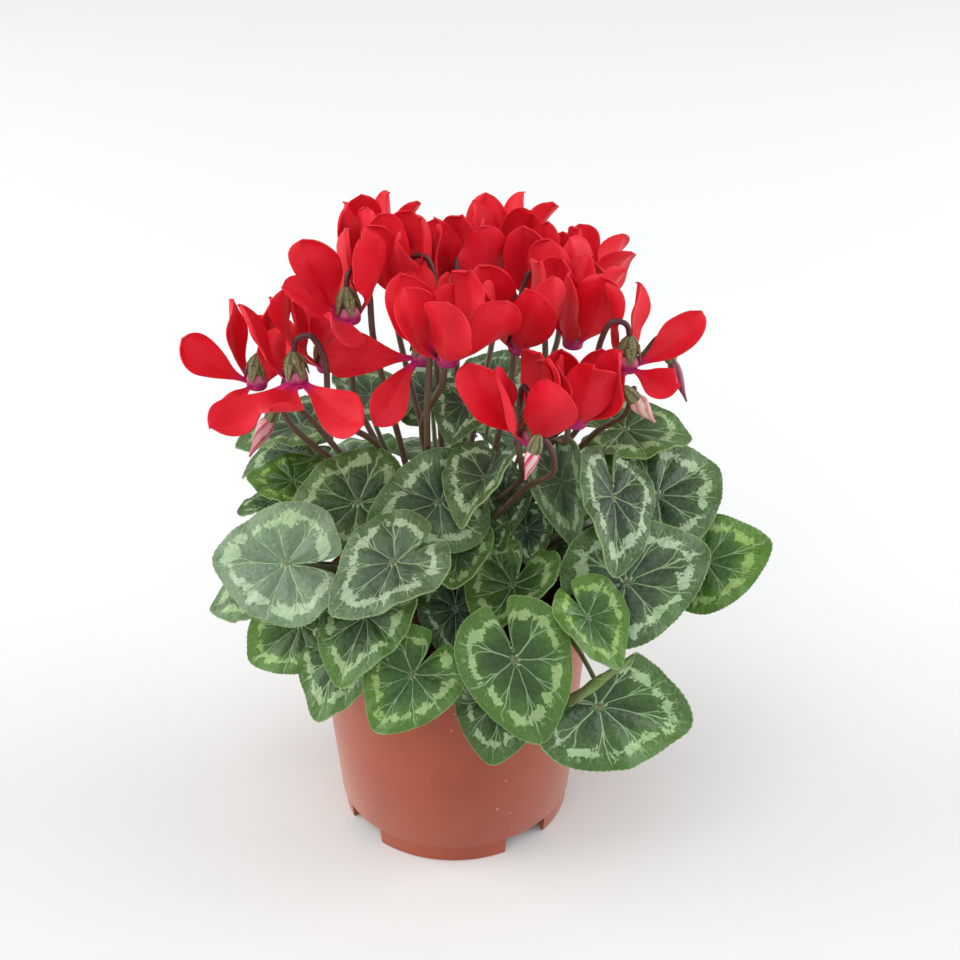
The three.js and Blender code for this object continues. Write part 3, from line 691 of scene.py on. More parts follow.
@dataclass(frozen=True)
class StemFinish:
    """The skin of a stalk, from its foot to its end; the leaf stalks' dark foot is partly painted shade."""

    name: str
    foot: Colour
    end: Colour
    from_share: float = 0.2
    to_share: float = 0.85
    roughness: float = 0.38

    def material(self) -> bpy.types.Material:
        """Builds the finish.

        Returns:
            The material.
        """
        board = Board(self.name)
        along = board.value("along")
        streak = board.noise(board.place(420), detail=3)
        share = board.step(board.times_plus(board.minus(streak, 0.5), 0.3, along),
                           self.from_share, self.to_share)
        colour = board.mix(share, linear(self.foot), linear(self.end))
        shade = board.plus(board.scaled(streak, 0.6), 1.0)
        colour = board.shaded(colour, shade)
        board.set(Base_Color=colour, Roughness=self.roughness, Specular_IOR_Level=0.45)
        board.bump(board.noise(board.place(1600)), 0.12)
        return board.material


@dataclass(frozen=True)
class CalyxFinish:
    """The calyx: pale green with dark lines along the middle and the edges of its sepals."""

    ground: Colour = (112, 114, 70)
    speck: Colour = (64, 38, 32)
    pale: Colour = (172, 168, 124)

    def material(self) -> bpy.types.Material:
        """Builds the finish.

        Returns:
            The material.
        """
        board = Board("calyx")
        specks = board.noise(board.place(1300), detail=3, rough=0.65)
        ridge = board.plus(board.value("ridge"), board.scaled(specks, 0.5))
        lines = board.math("MAXIMUM", board.step(ridge, 0.6, 0.95), board.fall(ridge, 0.02, 0.2))
        colour = board.mix(board.step(specks, 0.5, 0.75), linear(self.ground), linear(self.pale))
        colour = board.mix(board.times(lines, 0.8), colour, linear(self.speck))
        board.set(Base_Color=colour, Roughness=0.48, Specular_IOR_Level=0.35)
        board.bump(specks, 0.2)
        return board.material


@dataclass(frozen=True)
class PetalFinish:
    """Velvety scarlet with faint lengthwise veins, a lighter tip that is partly its own pale colour and
    partly painted highlight, and a magenta claw.
    """

    scarlet: Colour = (214, 14, 34)
    deep: Colour = (168, 4, 22)
    # light: the lighter pink of the tip, partly painted highlight.
    light: Colour = (232, 40, 60)
    claw: Colour = (186, 26, 112)

    def material(self) -> bpy.types.Material:
        """Builds the finish.

        Returns:
            The material.
        """
        board = Board("petal_scarlet")
        share, side, seed = board.value("share"), board.value("side"), board.value("seed")
        spread = board.times(side, board.times_plus(share, -2.2, 6.0))
        lines = board.noise(board.vector(board.times_plus(seed, 31.0, board.times(spread, 3.0)),
                                         board.times(share, 2.2), 2.0), 2)
        cloud = board.noise(board.place(120))
        fine = board.noise(board.place(2600))
        depth = board.times(board.step(lines, 0.4, 0.75), 0.4)
        colour = board.mix(depth, linear(self.scarlet), linear(self.deep))
        # Lighter pink towards the tip in clouds: partly the petal's own pale tip, partly painted highlight.
        pale_tip_and_highlight = board.times(board.step(cloud, 0.35, 0.7), board.step(share, 0.2, 1.0))
        colour = board.mix(board.times(pale_tip_and_highlight, 0.6), colour, linear(self.light))
        claw = board.fall(board.times_plus(board.absolute(side), 0.05, share), 0.04, 0.26)
        colour = board.mix(claw, colour, linear(self.claw))
        board.set(Base_Color=colour, Roughness=board.times_plus(fine, 0.2, 0.4),
                  Specular_IOR_Level=0.22, Sheen_Weight=0.1, Sheen_Roughness=0.4,
                  Sheen_Tint=(1.0, 0.5, 0.6, 1.0), Subsurface_Weight=0.15,
                  Subsurface_Radius=(1.0, 0.15, 0.12), Subsurface_Scale=0.0015)
        board.bump(board.times_plus(fine, 0.3, lines), 0.12)
        return board.material


@dataclass(frozen=True)
class TubeFinish:
    """The short tube of a bloom: pale pink under the calyx, magenta at its mouth."""

    mouth: Colour = (160, 18, 92)
    neck: Colour = (198, 104, 132)

    def material(self) -> bpy.types.Material:
        """Builds the finish.

        Returns:
            The material.
        """
        board = Board("petal_tube")
        cloud = board.noise(board.place(700))
        share = board.plus(board.value("share"), board.scaled(cloud, 0.4))
        colour = board.mix(board.step(share, 0.3, 0.75), linear(self.mouth), linear(self.neck))
        board.set(Base_Color=colour, Roughness=0.45, Specular_IOR_Level=0.35)
        return board.material


@dataclass(frozen=True)
class BudFinish:
    """A closed bud: pale petals with darker wound edges, deeper towards the tip."""

    name: str
    pale: Colour
    stripe: Colour
    tip: Colour

    def material(self) -> bpy.types.Material:
        """Builds the finish.

        Returns:
            The material.
        """
        board = Board(self.name)
        along, ridge = board.value("along"), board.value("ridge")
        fine = board.noise(board.place(1500))
        colour = board.mix(board.step(board.times_plus(fine, 0.3, ridge), 0.5, 0.95),
                           linear(self.pale), linear(self.stripe))
        colour = board.mix(board.times(board.step(along, 0.45, 1.0), 0.7), colour, linear(self.tip))
        board.set(Base_Color=colour, Roughness=0.42, Specular_IOR_Level=0.4, Sheen_Weight=0.1)
        board.bump(fine, 0.12)
        return board.material


@dataclass(frozen=True)
class PotFinish:
    """Satin moulded plastic in terracotta colour, with faint clouds and a few specks."""

    ground: Colour = (160, 66, 30)
    deep: Colour = (146, 56, 26)
    speck: Colour = (206, 132, 104)

    def material(self) -> bpy.types.Material:
        """Builds the finish.

        Returns:
            The material.
        """
        board = Board("pot_plastic")
        cloud = board.noise(board.place(22), detail=3)
        grain = board.noise(board.place(900), detail=3)
        specks = board.cells(board.place(150))
        colour = board.mix(board.step(cloud, 0.35, 0.7), linear(self.ground), linear(self.deep))
        few = board.fall(specks, 0.05, 0.09)
        colour = board.mix(board.times(few, board.step(cloud, 0.45, 0.6)), colour, linear(self.speck))
        board.set(Base_Color=colour, Roughness=board.times_plus(grain, 0.18, 0.32),
                  Specular_IOR_Level=0.42, Sheen_Weight=0.35, Sheen_Roughness=0.45,
                  Sheen_Tint=(1.0, 0.88, 0.82, 1.0))
        board.bump(grain, 0.05)
        return board.material


@dataclass(frozen=True)
class PeatFinish:
    """Moist crumbled peat with lighter fibres."""

    dark: Colour = (34, 24, 18)
    brown: Colour = (74, 52, 36)
    fibre: Colour = (124, 96, 66)

    def material(self) -> bpy.types.Material:
        """Builds the finish.

        Returns:
            The material.
        """
        board = Board("peat")
        crumbs = board.cells(board.place(420))
        grain = board.noise(board.place(900), detail=4, rough=0.7)
        colour = board.mix(board.step(crumbs, 0.2, 0.8), linear(self.brown), linear(self.dark))
        colour = board.mix(board.step(grain, 0.62, 0.75), colour, linear(self.fibre))
        board.set(Base_Color=colour, Roughness=0.92, Specular_IOR_Level=0.15)
        board.bump(board.plus(crumbs, grain), 1.2)
        return board.material


@dataclass(frozen=True)
class TuberFinish:
    """Corky brown skin, cracked in fine nets."""

    ground: Colour = (98, 74, 54)
    crack: Colour = (46, 32, 24)

    def material(self) -> bpy.types.Material:
        """Builds the finish.

        Returns:
            The material.
        """
        board = Board("tuber_skin")
        net = board.cells(board.place(300), "DISTANCE_TO_EDGE")
        grain = board.noise(board.place(800), detail=3)
        colour = board.mix(board.step(net, 0.02, 0.14), linear(self.crack), linear(self.ground))
        board.set(Base_Color=colour, Roughness=0.8, Specular_IOR_Level=0.2)
        board.bump(board.plus(net, grain), 0.7)
        return board.material


class Trunk(Enum):
    """The short trunks on the crown that the flower stalks grow from."""

    LEFT = "left"
    MIDDLE = "middle"
    RIGHT = "right"


class Hue(Enum):
    """The colourings of a closed bud."""

    MAUVE = "mauve"
    PALE = "pale"
    PINK = "pink"
    STRIPED = "striped"


@dataclass
class HeartSheet:
    """The flat heart that every blade is bent from, drawn round its notch."""

    steps: int = 144
    rings: int = 13
    end: float = 176
    size: float = 0.44
    shoulder: float = 0.07
    shoulder_angle: float = 120
    shoulder_spread: float = 34
    tip: float = 0.31
    tip_spread: float = 24
    tip_blunt: float = 8
    notch_spread: float = 7
    veins: Tuple[float, ...] = (0, 36, 76, 124)

    def reach(self, degrees: float) -> float:
        """How far the edge lies from the notch, in blade widths.

        Args:
            degrees: The angle from the midrib.

        Returns:
            The distance.
        """
        angle = abs(degrees)
        shoulder = math.exp(-(((angle - self.shoulder_angle) / self.shoulder_spread) ** 2))
        tip = math.exp(-math.hypot(angle, self.tip_blunt) / self.tip_spread)
        body = self.size + self.shoulder * shoulder + self.tip * tip
        return body * (1 - math.exp(-(((180 - angle) / self.notch_spread) ** 2)))

    def phase(self, degrees: float) -> float:
        """Counts veins from the midrib: whole numbers lie on veins.

        Args:
            degrees: The angle from the midrib.

        Returns:
            The count, with the sign of the angle.
        """
        angle = abs(degrees)
        count = sum(angle >= vein for vein in self.veins[1:-1])
        low, high = self.veins[count], self.veins[count + 1]
        return math.copysign(count + (angle - low) / (high - low), degrees)

    def model(self) -> bpy.types.Object:
        """Models the flat sheet, with its values share, turn and phase.

        Returns:
            The sheet.
        """
        sheet = flat_grid("heart_sheet", self.rings, self.steps)
        shares, turns = [], []
        for corner in sheet.data.vertices:
            share = (corner.co.x + 0.5) ** 0.85
            turn = 2 * self.end * corner.co.y
            shares.append(share)
            turns.append(turn)
            out = self.reach(turn) * share
            corner.co = (out * math.cos(math.radians(turn)), out * math.sin(math.radians(turn)), 0)
        write_values(sheet, "share", shares)
        write_values(sheet, "turn", turns)
        write_values(sheet, "phase", [self.phase(turn) for turn in turns])
        bpy.ops.object.mode_set(mode="EDIT")
        bpy.ops.mesh.select_all(action="SELECT")
        bpy.ops.mesh.remove_doubles(threshold=1e-5)
        bpy.ops.mesh.normals_make_consistent(inside=False)
        bpy.ops.object.mode_set(mode="OBJECT")
        if sum(face.normal.z for face in sheet.data.polygons) < 0:
            sheet.data.flip_normals()
        return sheet


@dataclass
class PetalSheet:
    """The flat strip that every petal is bent from."""

    rows: int = 26
    columns: int = 12

    def model(self) -> bpy.types.Object:
        """Models the strip, with its values share along it and side across it.

        Returns:
            The strip.
        """
        sheet = flat_grid("petal_sheet", self.columns, self.rows)
        write_values(sheet, "share", [corner.co.y + 0.5 for corner in sheet.data.vertices])
        write_values(sheet, "side", [corner.co.x * 2 for corner in sheet.data.vertices])
        return sheet


class Kit:
    """Every finish and flat pattern that the pieces are made with, each made once."""

    def __init__(self) -> None:
        """Makes them all."""
        self.leaf = LeafFinish().material()
        self.underside = UndersideFinish().material()
        # The leaf stalks' near-black foot is partly their own brown and partly painted shade of the dark
        # crown.
        self.petiole = StemFinish("leaf_stalk", (52, 36, 28), (104, 116, 58), 0.5, 1.0).material()
        self.stalk = StemFinish("flower_stalk", (92, 68, 46), (72, 24, 32), 0.3, 0.85).material()
        self.calyx = CalyxFinish().material()
        self.petal = PetalFinish().material()
        self.tube = TubeFinish().material()
        self.pot = PotFinish().material()
        self.peat = PeatFinish().material()
        self.tuber = TuberFinish().material()
        self.buds = {
            Hue.MAUVE: BudFinish("bud_mauve", (150, 66, 94), (110, 32, 62), (130, 44, 74)).material(),
            Hue.PALE: BudFinish("bud_pale", (206, 172, 156), (176, 104, 110), (190, 120, 124)).material(),
            Hue.PINK: BudFinish("bud_pink", (208, 150, 150), (176, 70, 92), (186, 60, 84)).material(),
            Hue.STRIPED: BudFinish("bud_striped", (226, 190, 190), (198, 48, 84), (200, 60, 90)).material(),
        }
        self.heart = HeartSheet()
        self.blade_sheet = self.heart.model()
        self.petal_sheet = PetalSheet().model()

    def clear(self) -> None:
        """Takes the flat patterns away."""
        for pattern in (self.blade_sheet, self.petal_sheet):
            bpy.data.objects.remove(pattern, do_unlink=True)


# Leaves

OUTER_FEET, INNER_FEET, CORE_FEET = 17, 13, 9
CROWN_TOP = 91.5
GAP = 0.3


@dataclass
class Blade:
    """One leaf blade: where its notch lies, how it is turned and how it is bent.

    Lengths are in millimetres and angles in degrees; ripple, tooth, quilt and curl are in blade widths.
    """

    at: Point
    head: float
    pitch: float
    roll: float
    width: float
    long: float = 1
    fold: float = 12
    cup: float = -0.15
    arch: float = 0.2
    rise: float = 20
    back: float = 12
    lift: float = 0
    tone: float = 0.3
    silver: float = 0.5
    ripple: float = 0.03
    ripple_waves: float = 5
    tooth: float = 0.007
    quilt: float = 0.032
    thickness: float = 0.6
    curl_from: float = 0
    curl_side: float = 145
    curl_radius: float = 0.045
    curl_most: float = 3.7
    stalk_inset: float = 1.8
    stalk_steps: int = 20
    stalk_radius: float = 1.15
    stalk_taper: float = 0.35
    stalk_flare: float = 0.25

    def bent(self, heart: HeartSheet, degrees: float, share: float, tooth: float = 0) -> Vector:
        """Where a point of the flat sheet lies once the blade is bent, in its own frame.

        Args:
            heart: The flat sheet's shape.
            degrees: The angle from the midrib.
            share: How far out the point lies, 1 at the edge.
            tooth: How far the edge stands out there, as a share of its reach.

        Returns:
            The place in millimetres from the notch.
        """
        reach = heart.reach(degrees) * share * (1 + tooth)
        turn = math.radians(degrees)
        along, across = reach * math.cos(turn), reach * math.sin(turn)
        over = 0.0
        way = math.radians(self.curl_side)
        past = along * math.cos(way) + across * math.sin(way) - self.curl_from
        if self.curl_from and degrees > 0 and past > 0:
            angle = self.curl_most * (1 - math.exp(-past / (self.curl_most * self.curl_radius)))
            shift = self.curl_radius * math.sin(angle) - past
            along += math.cos(way) * shift
            across += math.sin(way) * shift
            over = self.curl_radius * (1 - math.cos(angle))
        fold = math.radians(self.fold)
        side = abs(across)
        wave = self.ripple * share ** 2 * math.sin(math.radians(self.ripple_waves * degrees) + self.at[0])
        wave += 0.35 * self.ripple * share ** 4 * math.sin(math.radians(13 * degrees) + self.at[1])
        phase = heart.phase(degrees)
        off = abs(phase - round(phase))
        wave += self.quilt * math.sin(math.pi * off) ** 2 * share * (1 - share ** 3) * 1.6
        soft = math.sqrt(side ** 2 + 0.02 ** 2) - 0.02
        lift = soft * math.sin(fold) + self.cup * side ** 2 - self.arch * along ** 2
        return Vector((along * self.long, across * math.cos(fold), lift + wave + over)) * self.width

    def frame(self) -> Matrix:
        """Where the blade lies, at its notch.

        Returns:
            The frame, X along the midrib and Z out of the upper face.
        """
        head, pitch = math.radians(self.head), math.radians(self.pitch)
        along = Vector((math.cos(pitch) * math.cos(head), math.cos(pitch) * math.sin(head), math.sin(pitch)))
        across = UP.cross(along).normalized()
        across.rotate(Quaternion(along, math.radians(self.roll)))
        made = Matrix((along, across, along.cross(across))).transposed().to_4x4()
        made.translation = Vector(self.at)
        return made

    def model(self, kit: Kit) -> bpy.types.Object:
        """Bends a copy of the flat sheet into the blade and gives it its thickness.

        Args:
            kit: The finishes and the flat patterns.

        Returns:
            The blade.
        """
        blade = copy_of(kit.blade_sheet, "blade")
        shares, turns = read_values(blade, "share"), read_values(blade, "turn")
        place = self.frame()
        seed = (self.at[0] * 0.37 + self.at[2] * 0.11) % 1.0
        end, steps = kit.heart.end, kit.heart.steps
        places = []
        for share, turn in zip(shares, turns):
            index = round((turn + end) / (2 * end) * steps)
            tooth = 0.0
            if share > 0.97:
                sign = 1 if index % 2 else -1
                tooth = self.tooth * sign * (0.75 + 0.25 * math.sin(index * 2.3 + seed * 9))
            places.extend((place @ self.bent(kit.heart, turn, share, tooth)) * MM)
        blade.data.vertices.foreach_set("co", places)
        for name, value in (("tone", self.tone), ("silver", self.silver), ("seed", seed)):
            write_values(blade, name, [value] * len(shares))
        paint(blade, kit.leaf, kit.underside, kit.petiole)
        apply_modifier(blade, "SOLIDIFY", thickness=self.thickness * MM, offset=0, material_offset=1)
        return blade

    def petiole(self, foot: Vector, kit: Kit) -> bpy.types.Object:
        """Models the leaf stalk, which comes up under the blade just before the notch.

        Args:
            foot: Where it stands on the crown; the height is left out.
            kit: The finishes and the flat patterns.

        Returns:
            The leaf stalk.
        """
        place = self.frame()
        inset = self.bent(kit.heart, 0, self.stalk_inset / (kit.heart.reach(0) * self.width))
        end = place @ (inset + Vector((0, 0, -0.3)))
        below = place @ (inset - Vector((0, 0, self.back)))
        below.z += self.lift
        start = Vector((foot.x, foot.y, CROWN_TOP + GAP))
        climb = start.lerp(end, 0.1)
        climb.z = start.z + self.rise
        points, radii = [], []
        for k in range(self.stalk_steps + 1):
            t = k / self.stalk_steps
            points.append(start * (1 - t) ** 3 + climb * 3 * t * (1 - t) ** 2
                          + below * 3 * t ** 2 * (1 - t) + end * t ** 3)
            radii.append(self.stalk_radius - self.stalk_taper * smoothstep(0.3, 1.0, t)
                         + self.stalk_flare * (1 - t) ** 6)
        stem = pipe("petiole", points, radii, bevel=2)
        paint(stem, kit.leaf, kit.underside, kit.petiole, slot=2)
        return stem

    def grown(self, foot: Vector, kit: Kit) -> List[bpy.types.Object]:
        """The blade and its stalk."""
        return [self.model(kit), self.petiole(foot, kit)]


@dataclass
class Leaf:
    """One grown piece: a blade, or a few that share a foot, on their stalks."""

    name: str
    node: str
    foot: float
    ring: float
    blades: List[Blade]

    def model(self, kit: Kit) -> bpy.types.Object:
        """Models the leaf as one piece in place of its node.

        Args:
            kit: The finishes and the flat patterns.

        Returns:
            The leaf.
        """
        angle = math.radians(self.foot)
        foot = Vector((self.ring * math.cos(angle), self.ring * math.sin(angle), 0))
        pieces = []
        for blade in self.blades:
            pieces.extend(blade.grown(foot, kit))
        leaf = join(pieces, self.name)
        soften(leaf, degrees=55)
        return leaf


def front_leaf(name: str, foot: float, ring: float, *blades: Blade, node: Optional[str] = None) -> Leaf:
    """One of the leaves that the front shows, with its foot at an angle and a radius of the crown."""
    return Leaf(f"{name}_leaf", node or f"leaf_{name}", foot, ring, list(blades))


FRONT_LEAVES = (
    front_leaf("front_low_right", -70, OUTER_FEET,
        Blade((22, -64, 108), -50, -63, 33, 40, long=1.18, rise=26, tone=0.65, silver=0.6)),
    front_leaf("front_low", -85, OUTER_FEET,
        Blade((17, -60, 88.5), -105, -54, -8, 34, rise=34, lift=20, tone=0.3, silver=0.25)),
    front_leaf("front_low_left", -99, OUTER_FEET,
        Blade((-12, -64, 102), -145, -45, -37, 35, rise=24, tone=0.9, silver=0.5)),
    front_leaf("right_low", -42, OUTER_FEET,
        Blade((51, -54, 81), 11, -22, 63, 49, long=1.2, fold=20, rise=36, lift=22,
              tone=0.35, silver=0.35, curl_from=0.15)),
    front_leaf("front_left", -119, OUTER_FEET,
        Blade((-27, -54, 119), -126, -41, 0, 38, tone=0.5, silver=0.5)),
    front_leaf("front_left_top", -124, INNER_FEET,
        Blade((-17, -56, 141), -151, -24, -12, 40, tone=0.12, silver=0.8)),
    front_leaf("left_broad", -148, OUTER_FEET,
        Blade((-54, -42, 132), 157, -11, -55, 44, long=1.1, tone=0.1, silver=1.1)),
    front_leaf("left_top", -140, INNER_FEET,
        Blade((-31, -23, 144), -173, -10, -35, 42, tone=0.35, silver=0.6)),
    front_leaf("centre_left", -104, INNER_FEET,
        Blade((-3, -28, 147), -161, -5, -50, 38, tone=0.12, silver=0.75)),
    front_leaf("centre_front", -72, INNER_FEET,
        Blade((12.5, -28, 156.5), -116, -18, 12, 32, fold=35, tone=0.2, silver=0.7)),
    front_leaf("crescent", -88, INNER_FEET,
        Blade((3, -34, 131), -98, -24, 0, 26, cup=0.5, arch=-0.35, tone=0.4, silver=0.7)),
    front_leaf("bowl", -56, INNER_FEET,
        Blade((22, -35.5, 118.5), -118, -22, 0, 35, cup=0.7, arch=-0.35, tone=0.45, silver=0.6)),
    front_leaf("folded", -38, INNER_FEET,
        Blade((38.5, -19, 149.5), -76, -42, 22, 35, fold=55, tone=0.3, silver=0.9)),
    front_leaf("right_front", -24, INNER_FEET,
        Blade((55.4, -30.3, 150), -86, -34, -33, 34, long=1.25, fold=14, tone=0.08, silver=0.6)),
    front_leaf("right_broad", -8, INNER_FEET,
        Blade((73, -9, 138), 38, 10, 33, 47, tone=0.18, silver=0.65)),
    front_leaf("right_outer", 0, OUTER_FEET,
        Blade((91, -15, 114), 9, 15, 48, 38, tone=0.95, silver=0.6)),
    front_leaf("right_middle", -22, OUTER_FEET,
        Blade((60, -41, 123), 20, 12, 52, 45, long=1.1, tone=0.08, silver=0.7)),
    front_leaf("right_young", -55, OUTER_FEET,
        Blade((46, -56, 119), -43, -42, 9, 30, fold=25, tone=0.85, silver=0.6)),
    front_leaf("left_low", -132, OUTER_FEET,
        Blade((-52, -36, 103), -169, -33, -52, 36, tone=0.6, silver=0.6),
        Blade((-37, -47, 99), -130, -50, 0, 38, tone=0.4, silver=0.3), node="leaves_left_low"),
    front_leaf("left_outer", -164, OUTER_FEET,
        Blade((-68, -12, 104), 174, -25, -20, 36, tone=0.2, silver=0.8),
        Blade((-66, 8, 127), -170, -8, 0, 19, tone=0.4, silver=0.4), node="leaves_left_outer"),
    front_leaf("left_back", 176, INNER_FEET,
        Blade((-54, 18, 153), -176, -10, 0, 38, tone=0.55, silver=0.6),
        Blade((-56, 2, 139), 166, 5, -16, 27, tone=0.9, silver=0.2),
        Blade((-58, 24, 139), 180, -17, 0, 34, tone=0.5, silver=0.5), node="leaves_left_back"),
    front_leaf("inner_left", -109, OUTER_FEET,
        Blade((2, -40, 112), -90, -48, 0, 28, rise=16, back=6, tone=0.0, silver=0.1)),
    front_leaf("inner_back", 60, OUTER_FEET,
        Blade((30, 31, 99), 60, 0, 0, 42, rise=6, back=6, tone=0.1, silver=0.2)),
    front_leaf("top", -66, CORE_FEET, Blade((6, -7, 174), -112, -30, 0, 24, back=6, tone=0.1, silver=0.5)),
    front_leaf("top_right", 14, INNER_FEET, Blade((62, 3, 158), 8, -4, 12, 38, back=5, tone=0.6, silver=0.6)),
)


@dataclass
class BackRow:
    """A row of leaves on the far side, spaced round the crown by a rule."""

    name: str
    count: int
    shared: int
    ring: float
    start: float
    step: float
    reach: float
    height: float
    pitch: float
    width: float
    tones: Tuple[float, ...] = (0.1, 0.45, 0.2, 0.6, 0.15)

    def leaves(self) -> List[Leaf]:
        """The leaves of the row; neighbours share a foot.

        Returns:
            The leaves.
        """
        made: Dict[str, Leaf] = {}
        for k in range(self.count):
            azimuth = self.start + k * self.step
            sway = 1 if k % 2 else -1
            turn = math.radians(azimuth)
            at = (self.reach * math.cos(turn), self.reach * math.sin(turn), self.height + 2.5 * sway)
            number = 1 + k // self.shared
            foot = azimuth + self.step * (self.shared - 1) / 2
            leaf = made.setdefault(
                f"{self.name}_{number}",
                Leaf(f"back_{self.name}_{number}_leaf", f"leaves_back_{self.name}_{number}",
                     foot, self.ring, []),
            )
            leaf.blades.append(Blade(at, azimuth + 5 * sway, self.pitch, 5 * sway, self.width,
                                     tone=self.tones[k % 5], silver=0.4 + 0.1 * (k % 4)))
        return list(made.values())


BACK_ROWS = (
    BackRow("low", 5, 2, OUTER_FEET, 14, 38, 62, 104, -36, 42),
    BackRow("middle", 4, 2, INNER_FEET, 22, 38, 54, 128, -16, 37),
    # The high row's darkest tones are painted shade under the blooms.
    BackRow("high", 4, 2, CORE_FEET, 43, 28, 49, 152, 24, 32, (0.0, 0.1, 0.0, 0.15, 0.0)),
)


@dataclass
class YoungLeaves:
    """The small leaves that come up between the grown ones, hardly lit; their darkest tone and scant silver
    are painted shade of the crown's middle.
    """

    heads: Tuple[Tuple[Point, float, float, float], ...] = (
        ((38, 2, 110), -70, -35, 17), ((20, 10, 118), -80, -40, 19), ((14, 18, 138), -100, -35, 18),
        ((30, 14, 104), -60, -30, 16), ((-14, -12, 116), -110, -40, 18), ((2, 8, 126), -85, -35, 17),
        ((26, 22, 128), -75, -40, 19), ((-22, 2, 128), -120, -30, 18), ((20, -12, 140), -90, -50, 20),
        ((27, -16, 129), -80, -50, 20), ((13, -20, 129), -100, -50, 19),
    )
    ring: float = 6

    def model(self, kit: Kit) -> bpy.types.Object:
        """Models them all as one piece on the crown.

        Args:
            kit: The finishes and the flat patterns.

        Returns:
            The piece.
        """
        pieces = []
        for at, head, pitch, width in self.heads:
            # Darkest tone and little silver: painted shade in the crown's middle.
            blade = Blade(at, head, pitch, 0, width, fold=24, rise=16, back=6, tone=0.05, silver=0.1)
            foot = Vector((at[0], at[1], 0)).normalized() * self.ring
            pieces.extend(blade.grown(foot, kit))
        made = join(pieces, "young_leaves")
        soften(made, degrees=55)
        return made


# Blooms

PETAL_STEPS = 60


@dataclass(frozen=True)
class PetalRow:
    """One row across a petal: its middle, the ways across, up and along, and half its width."""

    line: Vector
    side: Vector
    up: Vector
    half: float
    way: Vector


